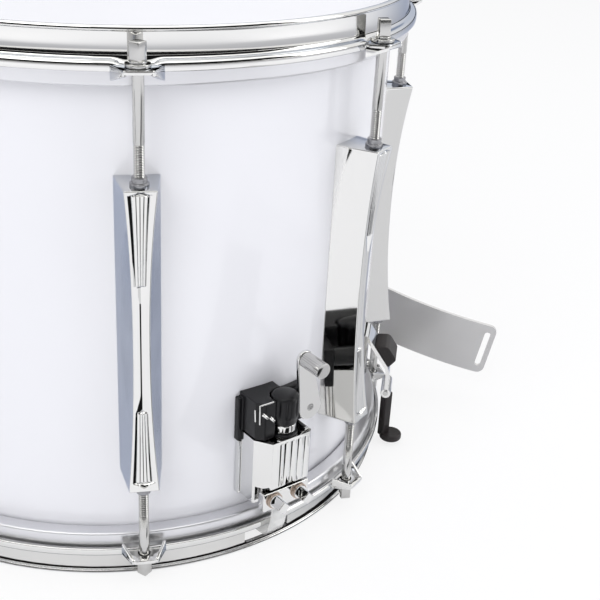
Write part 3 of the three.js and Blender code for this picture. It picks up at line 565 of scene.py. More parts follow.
class DRUM_OT_shell(bpy.types.Operator):
    """Lacquered shell with its bearing edges and the vent's grommet"""

    bl_idname = "drum.shell"
    bl_label = "Shell"

    edge = 0.8 * MM
    drill_overrun = 5 * MM
    vent_gap = 0.3 * MM
    grommet_wall = 1.6 * MM
    grommet_flange = 2.6 * MM
    grommet_rise = 1.7 * MM
    grommet_seat = 0.2 * MM

    def execute(self, context):
        size = context.scene.drum_shell
        inner = size.radius - size.wall
        bevelled = inner + size.bevel
        tube = turned(
            [
                (size.radius, SHELL_LOW, self.edge),
                (size.radius, SHELL_HIGH, self.edge),
                (bevelled, SHELL_HIGH, self.edge),
                (inner, SHELL_HIGH - size.bevel, 0),
                (inner, SHELL_LOW + size.bevel, 0),
                (bevelled, SHELL_LOW, self.edge),
            ],
            steps=RING_STEPS,
        )
        ends = inner - self.drill_overrun, size.radius + self.drill_overrun
        drill = moved(stub(0, HEIGHT / 2, *ends, size.vent, sides=48), facing(VENT))
        piece("lacquered_shell", [carved(tube, drill)], "White lacquer", "drum", ["shell"], limit=50)
        self.grommet(size, inner)
        return {"FINISHED"}

    def grommet(self, size, inner):
        outer = size.vent - self.vent_gap
        bore = outer - self.grommet_wall
        lip = outer + self.grommet_flange
        face = size.radius + self.grommet_rise
        seat = size.radius + self.grommet_seat
        ring = turned(
            [
                (bore, inner, 0),
                (bore, face, 0.7 * MM),
                (lip, face, 1.2 * MM),
                (lip, seat, 0),
                (outer, seat, 0),
                (outer, inner, 0),
            ],
            steps=64,
        )
        moved(ring, Matrix.Translation((0, 0, HEIGHT / 2)) @ LAID)
        piece("air_vent", [ring], "Chrome", "drum", ["vent_grommet"], azimuth=VENT)


class DRUM_OT_heads(bpy.types.Operator):
    """Coated batter head and hazy snare head, each with its flesh hoop"""

    bl_idname = "drum.heads"
    bl_label = "Heads"

    film_gap = 0.3 * MM
    ring_gap = 1.1 * MM
    ring_low = 18.6 * MM

    def film(self, size, shell):
        face = HEAD_DEPTH
        inner = shell.radius + self.film_gap
        outer = inner + size.film
        foot = face + size.collar
        return turned(
            [
                (0, face, 0),
                (outer, face, size.bend),
                (outer, foot, 0),
                (inner, foot, 0),
                (inner, face + size.film, size.bend - size.film),
                (0, face + size.film, 0),
            ],
            steps=RING_STEPS,
            closed=False,
            segments=6,
        )

    def flesh_hoop(self, size, shell):
        inner, low = shell.radius + self.ring_gap, self.ring_low
        outer, high = inner + size.hoop_width, low + size.hoop_height
        section = [
            (inner, low, 1 * MM),
            (outer, low, 1 * MM),
            (outer, high, 1.6 * MM),
            (inner, high, 1.6 * MM),
        ]
        return turned(section, steps=RING_STEPS)

    def execute(self, context):
        size = context.scene.drum_heads
        shell = context.scene.drum_shell
        ends = ("snare", lambda bm: bm, "Hazy film"), ("batter", for_batter, "Coated film")
        for end, turn, finish in ends:
            film = turn(self.film(size, shell))
            ring = turn(self.flesh_hoop(size, shell))
            piece(f"{end}_head", [film], finish, "drum", [f"{end}_film"], limit=60, weighted=False)
            piece(f"{end}_head_ring", [ring], "Flesh hoop aluminium", "drum", [f"{end}_flesh_hoop"])
        return {"FINISHED"}


# Hoops and rods


class DRUM_OT_hoops(bpy.types.Operator):
    """Pressed flanged hoops with eight ears each"""

    bl_idname = "drum.hoops"
    bl_label = "Hoops"

    dip_foot = 6.1 * MM
    dip_run = 7 * MM
    ear_root = 13.3 * MM
    ear_tip = 7.3 * MM
    ear_lap = 3 * MM
    bore_gap = 0.6 * MM
    bore_sides = 24
    gusset_depth = 7.7 * MM
    gusset_rise = 0.6 * MM
    gusset_sheet = 1.8 * MM
    gate_half = 16.5 * MM
    gate_low = 4.1 * MM
    gate_high = 14.1 * MM

    def section(self, size):
        inner, outer, sheet = size.inner, size.outer, size.sheet
        bead = inner + size.bead
        foot = size.flange + sheet
        skirt = size.flange + size.skirt
        return [
            (inner, foot, 0.6 * MM),
            (inner, 0, 1.6 * MM),
            (bead, 0, 1.6 * MM),
            (bead, size.bead_height, 0.9 * MM),
            (inner + sheet, size.bead_height, 0.7 * MM),
            (inner + sheet, size.flange, 2 * MM),
            (outer, size.flange, 2 * MM),
            (outer, skirt, 0.7 * MM),
            (outer - sheet, skirt, 0.6 * MM),
            (outer - sheet, foot, 0.4 * MM),
        ]

    def dip(self, bm, size):
        """Lower the flange to each ear in a soft curve."""
        wall = size.inner + size.sheet
        foot = size.flange + size.skirt
        between = 360 / STATIONS
        for vert in bm.verts:
            out = math.hypot(vert.co.x, vert.co.y)
            if out <= wall + MERGE or vert.co.z < size.flange - MM:
                continue
            angle = math.degrees(math.atan2(vert.co.x, -vert.co.y)) % between
            along = math.radians(min(angle, between - angle)) * out - self.dip_foot
            reach = min((out - wall) / (2 * MM), 1)
            above = min(max((foot - vert.co.z) / size.skirt, 0), 1)
            vert.co.z += size.ear_drop * eased(1 - along / self.dip_run) * reach * above

    def ear(self, size, rods):
        top = size.flange + size.ear_drop
        tip = rods.circle + size.ear_reach
        plan = [
            (-self.ear_root, size.outer - self.ear_lap, 0),
            (self.ear_root, size.outer - self.ear_lap, 0),
            (self.ear_root, size.outer, 1.5 * MM),
            (self.ear_tip, tip, 2.6 * MM),
            (-self.ear_tip, tip, 2.6 * MM),
            (-self.ear_root, size.outer, 1.5 * MM),
        ]
        corners = [(spot(across, out, top), rounding) for across, out, rounding in plan]
        bore = rods.radius + self.bore_gap
        ring = []
        for step in range(self.bore_sides):
            angle = step * TURN / self.bore_sides
            ring.append((spot(bore * math.sin(angle), rods.circle + bore * math.cos(angle), top), 0))
        plate = prism(corners, Vector((0, 0, size.sheet)), 0.5 * MM, holes=[ring])
        return gathered([plate, self.gusset(size, top, tip, 1), self.gusset(size, top, tip, -1)])

    def gusset(self, size, top, tip, side):
        """Web under the ear's slanting edge, deep at the root and shallow at the tip."""
        start = Vector((side * self.ear_root, -size.outer, 0))
        slant = Vector((side * self.ear_tip, -tip, 0)) - start
        along, run = slant.normalized(), slant.length
        inward = Vector((along.y, -along.x, 0)) * side
        shallow = size.sheet + self.gusset_rise
        outline = [(0, 0, 0), (run, 0, 0.6 * MM), (run, shallow, 1 * MM), (0, self.gusset_depth, 1 * MM)]
        corners = [
            (start + along * step + Vector((0, 0, top + drop)), rounding) for step, drop, rounding in outline
        ]
        return prism(corners, inward * self.gusset_sheet, 0.35 * MM)

    def hoop(self, size, rods):
        ring = turned(self.section(size), steps=720, segments=3)
        self.dip(ring, size)
        return ring, repeated(self.ear(size, rods), [facing(azimuth) for _, azimuth in stations()])

    def gates(self, size):
        """Windows through the snare hoop's wall for the straps."""
        window = oblong(-self.gate_half, self.gate_half, self.gate_low, self.gate_high, 2 * MM)
        gate = outward(window, size.inner - 5 * MM, size.inner + size.sheet + 0.4 * MM)
        return [moved(gate.copy(), facing(azimuth)) for azimuth in (STRAINER, BUTT)]

    def execute(self, context):
        size = context.scene.drum_hoops
        ring, ears = self.hoop(size, context.scene.drum_rods)
        lower = [carved(ring.copy(), *self.gates(size)), ears.copy()]
        piece("lower_hoop", lower, "Chrome", "drum", ["snare_hoop"], weighted=False)
        upper = for_batter(gathered([ring, ears]))
        piece("upper_hoop", [upper], "Chrome", "drum", ["batter_hoop"], weighted=False)
        return {"FINISHED"}


class DRUM_OT_rods(bpy.types.Operator):
    """Sixteen threaded tension rods with washers and square key heads"""

    bl_idname = "drum.rods"
    bl_label = "Tension rods"

    washer_top = 17.5 * MM
    washer_sheet = 1.7 * MM
    collar = 4.4 * MM
    collar_sheet = 1.2 * MM
    head_low = 5.4 * MM
    head_sunk = 0.2 * MM
    hairline = 0.05 * MM
    inside_lug = 3 * MM
    thread_depth = 0.6 * MM

    def rod(self, size, lug_end):
        low = self.washer_top - self.washer_sheet
        collar = low - self.collar_sheet
        end = lug_end + self.inside_lug
        section = [
            (0, collar, 0),
            (self.collar, collar, 0.5 * MM),
            (self.collar, low - self.hairline, 0),
            (size.radius, low - self.hairline, 0),
            *self.thread(size, lug_end - size.threaded, end),
            (0, end, 0),
        ]
        washer = [
            (size.radius, low, 0),
            (size.washer, low, 0.5 * MM),
            (size.washer, self.washer_top, 0.3 * MM),
            (size.radius, self.washer_top, 0),
        ]
        head_ends = Vector((0, 0, collar + self.head_sunk)), Vector((0, 0, self.head_low))
        head = bar(*head_ends, size.head / math.sqrt(2), sides=4, edge=0.5 * MM, segments=3)
        return gathered([turned(section, steps=24, closed=False), turned(washer, steps=40), head])

    def thread(self, size, start, end):
        """Turns of the thread as close ridges, after a plain shank."""
        core = size.radius - self.thread_depth
        points = [(size.radius, start, 0)]
        height = start
        while height + size.pitch < end:
            points.append((core, height + 0.4 * size.pitch, 0))
            points.append((size.radius, height + 0.9 * size.pitch, 0))
            points.append((size.radius, height + size.pitch, 0))
            height += size.pitch
        return [*points, (core, end, 0)]

    def execute(self, context):
        size = context.scene.drum_rods
        lug = context.scene.drum_lugs
        out = Matrix.Translation(spot(0, size.circle, 0))
        snare = moved(self.rod(size, lug.low), out)
        batter = for_batter(moved(self.rod(size, HEIGHT - lug.high), out))
        for number, azimuth in stations():
            for end, rod in (("batter", batter), ("snare", snare)):
                name, node = f"{end}_tension_rod_{number}", f"{end}_rod_{number}"
                piece(name, [rod.copy()], "Rod steel", "drum", [node], azimuth, limit=50, weighted=False)
        return {"FINISHED"}


# Lugs


class DRUM_OT_lugs(bpy.types.Operator):
    """Eight waisted lugs with ribbed panels and their swivel nuts"""

    bl_idname = "drum.lugs"
    bl_label = "Lugs"

    islands = ((74.5 * MM, 118 * MM), (195 * MM, 247.4 * MM))
    island_edge = 0.57
    island_foot = 0.61
    island_slope = 1.2 * MM
    groove_edge = 0.88
    groove_end = 2 * MM
    waist_groove = 0.26
    slope = 0.49
    island_sink = 0.2 * MM
    rib_depth = 0.4 * MM
    ribs = (-0.405, -0.135, 0.135, 0.405)
    rib_pitch = 0.27
    rib_steps = (-0.47, -0.33, -0.16, 0, 0.16, 0.33, 0.47)
    side_shares = (0.94, 0.9, 0.88, 0.86, 0.81, 0.74, 0.67, 0.62, 0.61, 0.6, 0.59, 0.58, 0.57)
    taper = 11 * MM
    row_step = 1.6 * MM
    fine_step = 0.3 * MM
    row_clearance = 0.7 * MM
    waist_power = 2.2
    crown = 0.5 * MM
    seat = 0.9 * MM
    nut = ((2.6, -0.5, 0), (5.1, -0.5, 0), (5.1, 2.2, 0.5), (4, 2.4, 0.2), (4.2, 5.2, 0.6), (2.6, 5.2, 0))

    def rows(self, size):
        """Heights and insets of the rows, close together at the lug's ends and at the islands' ends."""
        edge = size.edge
        rounds = [(edge * (1 - math.sin(a)), edge * (1 - math.cos(a))) for a in (math.pi / 2, 0.9, 0.4, 0)]
        marks = {
            at + step * self.fine_step for island in self.islands for at in island for step in range(-4, 5)
        }
        height = size.low + 2 * edge
        while height < size.high - 2 * edge:
            if all(abs(height - mark) > self.row_clearance for mark in marks):
                marks.add(height)
            height += self.row_step
        rows = [(size.low + up, inset) for up, inset in rounds]
        rows += [(mark, 0) for mark in sorted(marks)]
        rows += [(size.high - up, inset) for up, inset in reversed(rounds)]
        return rows

    def columns(self):
        """Shares across the front, close together over the ribs and the groove's sides."""
        ribs = [rib + self.rib_pitch * step for rib in self.ribs for step in self.rib_steps]
        return [-share for share in self.side_shares] + ribs + list(reversed(self.side_shares))

    def inside_island(self, height):
        """1 within an island's height, 0 outside, with short slopes between."""
        nearest = max(min(height - low, high - height) for low, high in self.islands)
        return eased(nearest / self.island_slope + 0.5)

    def groove(self, height):
        """Half width, as a share of the front, of the groove along the middle of the front."""
        first, last = self.islands[0][0], self.islands[1][1]
        wide = 0
        for low, high in self.islands:
            beyond = max(low - height, height - high, 0)
            outer = height > high == last or height < low == first
            wide = max(wide, 1 - beyond / (self.groove_end if outer else self.taper))
        narrow = self.waist_groove if first <= height <= last else 0
        return narrow + (self.groove_edge - narrow) * wide

    def sunk(self, share, height, flat):
        """How far the front lies below its outer bands: the groove's sloping sides and the ribbed islands."""
        across = abs(share)
        groove = self.slope * flat * max(self.groove(height) - across, 0)
        rise = 1 - eased_line(across, self.island_edge, self.island_foot)
        nearest = min(abs(share - rib) for rib in self.ribs) / (self.rib_pitch / 2)
        ribbed_top = self.island_sink + self.rib_depth * (1 - math.cos(min(nearest, 1) * math.pi / 2))
        return groove + (ribbed_top - groove) * rise * self.inside_island(height)

    def section(self, size, height, inset):
        """Points across the lug at one height, from the left foot over the front to the right foot."""
        middle = (size.low + size.high) / 2
        share = min(abs(height - middle) / ((size.high - size.low) / 2), 1) ** self.waist_power
        half = size.waist_half + (size.end_half - size.waist_half) * share - inset
        depth = size.waist_depth + (size.end_depth - size.waist_depth) * share - inset
        base = size.base - inset
        edge = size.edge
        flat = half - edge
        lean = math.atan2(base - half, depth)
        crown = self.crown * (1 - share)
        left = [(-base, WALL - self.seat), (-base, WALL)]
        for step in range(5):
            angle = (math.pi / 2 + lean) * step / 4 - lean
            left.append((-flat - edge * math.cos(angle), WALL + depth - edge + edge * math.sin(angle)))
        front = []
        for share_across in self.columns():
            bulge = crown * (1 - share_across ** 2)
            sunk = self.sunk(share_across, height, flat) if inset == 0 else 0
            front.append((share_across * flat, WALL + depth + bulge - sunk))
        right = [(-across, out) for across, out in reversed(left)]
        return left + front + right

    def lug(self, size):
        rows = self.rows(size)
        lines = [self.section(size, height, inset) for height, inset in rows]
        wide, tall = len(lines[0]) - 1, len(rows) - 1
        bm = bmesh.new()
        bmesh.ops.create_grid(bm, x_segments=wide, y_segments=tall, size=1)
        for vert in bm.verts:
            column = round((vert.co.x + 1) / 2 * wide)
            row = round((vert.co.y + 1) / 2 * tall)
            vert.co = spot(*lines[row][column], rows[row][0])
        rims = [edge for edge in bm.edges if edge.is_boundary]
        level = [e for e in rims if abs(e.verts[0].co.z - e.verts[1].co.z) < MERGE]
        low = [e for e in level if e.verts[0].co.z < HEIGHT / 2]
        high = [e for e in level if e.verts[0].co.z > HEIGHT / 2]
        for end in (low, high):
            verts = {vert for edge in end for vert in edge.verts}
            foot = sorted((v for v in verts if -v.co.y < WALL - self.seat / 2), key=lambda v: v.co.x)
            end.append(bm.edges.new((foot[0], foot[-1])))
            bmesh.ops.contextual_create(bm, geom=end)
        bmesh.ops.holes_fill(bm, edges=bm.edges, sides=0)
        bmesh.ops.recalc_face_normals(bm, faces=bm.faces)
        return bm

    def nuts(self, size, circle):
        shapes = []
        for end, along in ((size.low, -1), (size.high, 1)):
            section = [(out * MM, end + along * up * MM, rounding * MM) for out, up, rounding in self.nut]
            shapes.append(moved(turned(section, steps=40), Matrix.Translation(spot(0, circle, 0))))
        return gathered(shapes)

    def execute(self, context):
        size = context.scene.drum_lugs
        lug = self.lug(size)
        nuts = self.nuts(size, context.scene.drum_rods.circle)
        for number, azimuth in stations():
            name, node = f"waisted_lug_{number}", f"lug_{number}"
            piece(name, [lug.copy()], "Chrome", "drum", [node], azimuth, limit=40, weighted=False)
            piece(f"swivel_nuts_{number}", [nuts.copy()], "Nut steel", "drum", (), azimuth)
        return {"FINISHED"}


# Strainer and butt


def flute(left, right, face, rise, low, high):
    """Shallow rounded rib on a front face, with softened ends."""
    plan = [(left, face - MM, 0)]
    for step in range(9):
        share = step / 4 - 1
        plan.append(((left + right) / 2 + share * (right - left) / 2, face + rise * (1 - share * share), 0))
    plan.append((right, face - MM, 0))
    return upright(plan, low, high, 0.35 * MM)


def flutes(lines, *place):
    """Ribs side by side between the lines, given in millimetres."""
    return [flute(left * MM, right * MM, *place) for left, right in zip(lines, lines[1:])]


def grooved(bm, beyond, depth):
    """Pull the points beyond a radius towards the Z axis, by a depth that follows their angle and height."""
    for vert in bm.verts:
        out = math.hypot(vert.co.x, vert.co.y)
        if out > beyond:
            share = 1 - depth(math.atan2(vert.co.x, vert.co.y), vert.co.z) / out
            vert.co.x *= share
            vert.co.y *= share
    return bm


class DRUM_OT_strainer_base(bpy.types.Operator):
    """Rail and black base block that hold the strainer, with the wire clip"""

    bl_idname = "drum.strainer_base"
    bl_label = "Strainer base"

    clip = ((-16.8, 197.9, 98), (-17.1, 197.9, 110.4), (-8.9, 199.8, 111.6))
    spring = ((-18, 194.4, 106), (-18.4, 195.6, 99.4))
    wire_radius = 0.5 * MM
    rivets = (((-15.6, 198.2, 104.8), (-12.4, 199.8, 101.8)), ((-10.8, 199.2, 101.8), (-8.4, 200.6, 99)))
    rivet_radius = 1.1 * MM
    block_edge = 0.9 * MM

    def spots(self, points):
        return [spot(across * MM, out * MM, height * MM) for across, out, height in points]

    def wire(self, points):
        """Round wire through the points, given in millimetres, with a ball at each."""
        ends = self.spots(points)
        shapes = [bar(start, end, self.wire_radius, sides=12) for start, end in zip(ends, ends[1:])]
        for end in ends:
            ball = bmesh.new()
            bmesh.ops.create_uvsphere(ball, u_segments=12, v_segments=8, radius=self.wire_radius)
            shapes.append(moved(ball, Matrix.Translation(end)))
        return shapes

    def execute(self, context):
        rail = refined("strainer_rail", context.scene.drum_strainer.edge, STRAINER)
        base = refined("strainer_base", self.block_edge, STRAINER, segments=3)
        piece("strainer_slide", [rail], "Chrome", "drum", ["strainer_rail"], STRAINER)
        piece("strainer_block", [base], "Moulded black", "drum", ["strainer_base"], STRAINER)
        clip = self.wire(self.clip) + self.wire(self.spring)
        clip += [bar(*self.spots(ends), self.rivet_radius, edge=0.4 * MM) for ends in self.rivets]
        piece("wire_clip", clip, "Chrome", "drum", (), STRAINER, weighted=False)
        return {"FINISHED"}


class DRUM_OT_strainer_housing(bpy.types.Operator):
    """Chrome housing of the carriage, with ribs on its front"""

    bl_idname = "drum.strainer_housing"
    bl_label = "Strainer housing"

    face = 204.5 * MM
    low = 53.6 * MM
    high = 83.6 * MM
    grooves = (-6.4, -3.1, 1.8, 6.8, 11.7, 15.9)

    def execute(self, context):
        size = context.scene.drum_strainer
        housing = refined("strainer_housing", size.edge, STRAINER)
        ribs = flutes(self.grooves, self.face, size.rib, self.low, self.high)
        piece("ribbed_housing", [housing, *ribs], "Chrome", "carriage", ["strainer_housing"], STRAINER)
        return {"FINISHED"}


class DRUM_OT_tension_knob(bpy.types.Operator):
    """Fluted knob on its screw, collar and washer"""

    bl_idname = "drum.tension_knob"
    bl_label = "Tension knob"

    across = 2.6 * MM
    axis = 195.6 * MM
    flutes = 9
    knob_low = 93.3 * MM
    knob_high = 113.2 * MM
    knob_foot = 7.8 * MM
    knob_waist = 8.2 * MM
    waist_high = 3.6 * MM
    flare_high = 5.2 * MM
    crown_drop = 1.2 * MM
    flute_start = 4.6 * MM
    flute_run = 4 * MM
    flute_power = 0.8
    flute_core = 6 * MM
    collar_low = 87.4 * MM
    collar_high = 93 * MM
    collar_foot = 6.9 * MM
    collar_radius = 7.5 * MM
    collar_bevel = 1.2 * MM
    notches = 8
    notch_share = 0.8
    notch_depth = 0.3 * MM
    washer = (85.8 * MM, 87.4 * MM, 8.5 * MM)
    screw_head = (83.9 * MM, 85.9 * MM, 6 * MM)
    screw = (50 * MM, 84.2 * MM, 2.2 * MM)

    def knob(self, size):
        low, high = self.knob_low, self.knob_high
        bend = high - self.crown_drop
        section = [
            (0, low, 0),
            (self.knob_foot, low, 0.8 * MM),
            (self.knob_waist, low + self.waist_high, 0.6 * MM),
            (size.knob, low + self.flare_high, 1 * MM),
            (size.knob, bend, 2.4 * MM),
            (0, high, 0),
        ]
        bm = turned(section, steps=144, closed=False, segments=6)
        body = [edge for edge in bm.edges if abs(edge.verts[0].co.z - edge.verts[1].co.z) > 5 * MM]
        bmesh.ops.subdivide_edges(bm, edges=body, cuts=8, use_grid_fill=True)

        def depth(angle, height):
            rise = (height - low - self.flute_start) / self.flute_run
            fall = (bend - height) / self.flute_run
            wave = max(0, math.cos(angle * self.flutes)) ** self.flute_power
            return size.flute * wave * min(max(min(rise, fall), 0), 1)

        return grooved(bm, self.flute_core, depth)

    def notched_collar(self):
        """Bright collar with shallow notches round its edge."""
        section = [
            (0, self.collar_low, 0),
            (self.collar_foot, self.collar_low, 0.5 * MM),
            (self.collar_radius, self.collar_low + self.collar_bevel, 0.3 * MM),
            (self.collar_radius, self.collar_high, 0.7 * MM),
            (0, self.collar_high, 0),
        ]
        bm = turned(section, steps=96, closed=False)

        def depth(angle, height):
            return self.notch_depth * (math.cos(angle * self.notches) > self.notch_share)

        return grooved(bm, self.collar_radius - self.notch_depth, depth)

    def execute(self, context):
        out = Matrix.Translation(spot(self.across, self.axis, 0))
        knob = moved(self.knob(context.scene.drum_strainer), out)
        screw = [
            moved(self.notched_collar(), out),
            post(self.across, self.axis, *self.screw_head, edge=0.4 * MM),
            post(self.across, self.axis, *self.screw),
        ]
        washer = post(self.across, self.axis, *self.washer, sides=48, edge=0.4 * MM)
        piece("fluted_knob", [knob], "Moulded black", "knob", ["tension_knob"], STRAINER, 50, False)
        piece("knob_collar", screw, "Chrome", "knob", ["tension_screw"], STRAINER)
        piece("knob_washer", [washer], "Moulded black", "knob", (), STRAINER)
        return {"FINISHED"}


class DRUM_OT_clamps(bpy.types.Operator):
    """Strap clamps of the strainer and the butt: plate, two square-headed screws and their washers each, and
    a jaw on the strainer's
    """

    bl_idname = "drum.clamps"
    bl_label = "Strap clamps"

    plate_half = 17 * MM
    plate_heights = (39 * MM, 51.5 * MM)
    plate_faces = (200 * MM, 205.2 * MM)
    screw_across = 9.1 * MM
    screw_height = 45.8 * MM
    head = (206.6 * MM, 215.7 * MM, 6.35 * MM / math.sqrt(2))
    neck = (190 * MM, 207.6 * MM, 2.3 * MM)
    flange = (206.6 * MM, 207.7 * MM, 4.4 * MM)
    ring = (205.3 * MM, 206.7 * MM, 5.2 * MM)

    def screws(self, place):
        head = stub(*place, *self.head, sides=4, edge=0.55 * MM, segments=3)
        return [head, stub(*place, *self.neck, sides=24), stub(*place, *self.flange, edge=0.3 * MM)]

    def execute(self, context):
        jaw = refined("clamp_block", 0.5 * MM, STRAINER)
        piece("clamp_jaw", [jaw], "Rod steel", "clamp", ["clamp_block"], STRAINER)
        outline = oblong(-self.plate_half, self.plate_half, *self.plate_heights, 1 * MM)
        places = [(side * self.screw_across, self.screw_height) for side in (-1, 1)]
        for prefix, body, azimuth in (("clamp", "clamp", STRAINER), ("butt", "drum", BUTT)):
            plate = outward(outline, *self.plate_faces, 0.7 * MM, segments=3)
            piece(f"{prefix}_bar", [plate], "Chrome", body, [f"{prefix}_plate"], azimuth)
            for number, place in enumerate(places, 1):
                name, node = f"{prefix}_key_screw_{number}", f"{prefix}_screw_{number}"
                piece(name, self.screws(place), "Chrome", body, [node], azimuth)
            washers = [stub(*place, *self.ring, sides=40, edge=0.25 * MM) for place in places]
            piece(f"{prefix}_washers", washers, "Copper washer", body, (), azimuth)
        return {"FINISHED"}


class DRUM_OT_lever(bpy.types.Operator):
    """Throw lever with its knurled grip and pivot pin"""

    bl_idname = "drum.lever"
    bl_label = "Throw lever"

    pivot = (21.3 * MM, 97 * MM)
    tip = (15.5 * MM, 131.5 * MM)
    pivot_radius = 8.4 * MM
    tip_radius = 5.4 * MM
    faces = (194.4 * MM, 197 * MM)
    pin_foot = 186.4 * MM
    pin_radius = 2.5 * MM
    grip_radius = 4.9 * MM
    grip_length = 16.7 * MM
    grip_middle = 205.65 * MM
    knurl_radius = 4.8 * MM
    knurl_half = 8.2 * MM
    knurl_depth = 0.4 * MM
    knurl_steps = 120

    def outline(self):
        """Two half circles joined by straight sides."""
        corners = []
        ends = (self.pivot, self.pivot_radius, math.pi), (self.tip, self.tip_radius, 0)
        for (across, height), radius, start in ends:
            for step in range(17):
                angle = start + math.pi * step / 16
                corners.append((across + radius * math.cos(angle), height + radius * math.sin(angle), 0))
        return corners

    def grip(self):
        across, height = self.tip
        bm = bmesh.new()
        bmesh.ops.create_cone(
            bm, cap_ends=True, segments=self.knurl_steps, radius1=self.grip_radius,
            radius2=self.grip_radius, depth=self.grip_length,
        )
        soften(bm, 0.45 * MM)

        def depth(angle, along):
            step = round((0.25 - angle / TURN) * self.knurl_steps)
            return self.knurl_depth * (abs(along) < self.knurl_half and step % 5 < 2)

        grooved(bm, self.knurl_radius, depth)
        return moved(bm, Matrix.Translation(spot(across, self.grip_middle, height)) @ LAID)

    def execute(self, context):
        plate = outward(self.outline(), *self.faces, 0.6 * MM, segments=3)
        pin = stub(*self.pivot, self.pin_foot, self.faces[1], self.pin_radius, edge=0.1 * MM)
        piece("lever_plate", [plate], "Chrome", "lever", ["throw_lever"], STRAINER)
        piece("knurled_grip", [self.grip()], "Rod steel", "lever", ["lever_grip"], STRAINER, 24, False)
        piece("pivot_pin", [pin], "Chrome", "drum", ["lever_pin"], STRAINER)
        return {"FINISHED"}


class DRUM_OT_butt(bpy.types.Operator):
    """Butt block on the far side, with ribs on its front"""

    bl_idname = "drum.butt"
    bl_label = "Butt"

    face = 198.6 * MM
    low = 54.6 * MM
    high = 68.6 * MM
    grooves = (-11.2, -6.7, -2.2, 2.2, 6.7, 11.2)

    def execute(self, context):
        block = refined("butt_body", 1 * MM, BUTT, segments=3)
        rib = context.scene.drum_strainer.rib
        ribs = flutes(self.grooves, self.face, rib, self.low, self.high)
        piece("butt_block", [block, *ribs], "Chrome", "drum", ["butt_body"], BUTT)
        return {"FINISHED"}


# Snares


class DRUM_OT_snares(bpy.types.Operator):
    """Coiled snare wires under the lower head, and the straps that hold them"""

    bl_idname = "drum.snares"
    bl_label = "Snare wires"

    strands = 20
    pitch = 2.2 * MM
    coil_steps = 7
    middle = 9.3 * MM
    half = 20 * MM
    margin = 1.6 * MM
    plate_length = 16 * MM
    plate_half_sheet = 1.05 * MM
    overlap = 2 * MM
    route = ((187.4, 9.3, 3), (194.6, 11.4, 3), (199.3, 25.5, 6), (199.3, 50.7, 0))

    def strand(self, size, half):
        """One coiled strand along the wires' length, wound by a spin that moves along its axis."""
        bm = bmesh.new()
        bmesh.ops.create_circle(bm, cap_ends=False, segments=4, radius=size.wire)
        moved(bm, Matrix.Translation((size.coil, -half, 0)) @ LAID)
        turns = int(2 * half / self.pitch)
        steps = turns * self.coil_steps
        bmesh.ops.spin(
            bm, geom=bm.verts[:] + bm.edges[:], cent=(0, 0, 0), axis=(0, 1, 0), angle=TURN * turns,
            steps=steps, dvec=(0, 2 * half / steps, 0), use_merge=False,
        )
        bmesh.ops.holes_fill(bm, edges=bm.edges, sides=4)
        bmesh.ops.recalc_face_normals(bm, faces=bm.faces)
        return bm

    def wires(self, size):
        end = size.reach - self.plate_length
        outermost = self.half - self.margin
        gap = 2 * outermost / (self.strands - 1)
        across = [index * gap - outermost for index in range(self.strands)]
        places = [Matrix.Translation((place, 0, self.middle)) for place in across]
        coils = repeated(self.strand(size, end + self.overlap), places)
        plates = []
        for side in (-1, 1):
            corners = oblong(-self.half, self.half, side * end, side * size.reach, 1.5 * MM)
            low = self.middle - self.plate_half_sheet
            outline = [(Vector((place, along, low)), rounding) for place, along, rounding in corners]
            plates.append(prism(outline, Vector((0, 0, 2 * self.plate_half_sheet)), 0.3 * MM))
        return coils, plates

    def strap(self, size):
        """Band from the wires through the hoop's window, round the skirt and up into the clamp."""
        half = size.strap_sheet / 2
        start = (size.reach / MM - 1, self.middle / MM, 0)
        route = [(Vector((out * MM, height * MM)), bend * MM) for out, height, bend in (start, *self.route)]
        path = [point for point, _ in route]
        near, far = [], []
        for index, (point, bend) in enumerate(route):
            before, after = path[max(index - 1, 0)], path[min(index + 1, len(path) - 1)]
            first, second = (point - before).normalized(), (after - point).normalized()
            along = (first + second).normalized()
            side = Vector((-along.y, along.x)) * half
            near.append((*(point + side), bend))
            far.insert(0, (*(point - side), bend))
        return sideways(near + far, -size.strap, size.strap, 0.2 * MM)

    def execute(self, context):
        size = context.scene.drum_snares
        coils, plates = self.wires(size)
        piece("coiled_wires", [coils], "Wire steel", "drum", (), STRAINER, 80, False)
        piece("wire_plates", plates, "Wire steel", "drum", ["snare_wires"], STRAINER)
        for name, azimuth in (("strainer_strap", STRAINER), ("butt_strap", BUTT)):
            piece(f"{name}_band", [self.strap(size)], "Clear strap", "drum", [name], azimuth)
        return {"FINISHED"}


# Leg rest and hook


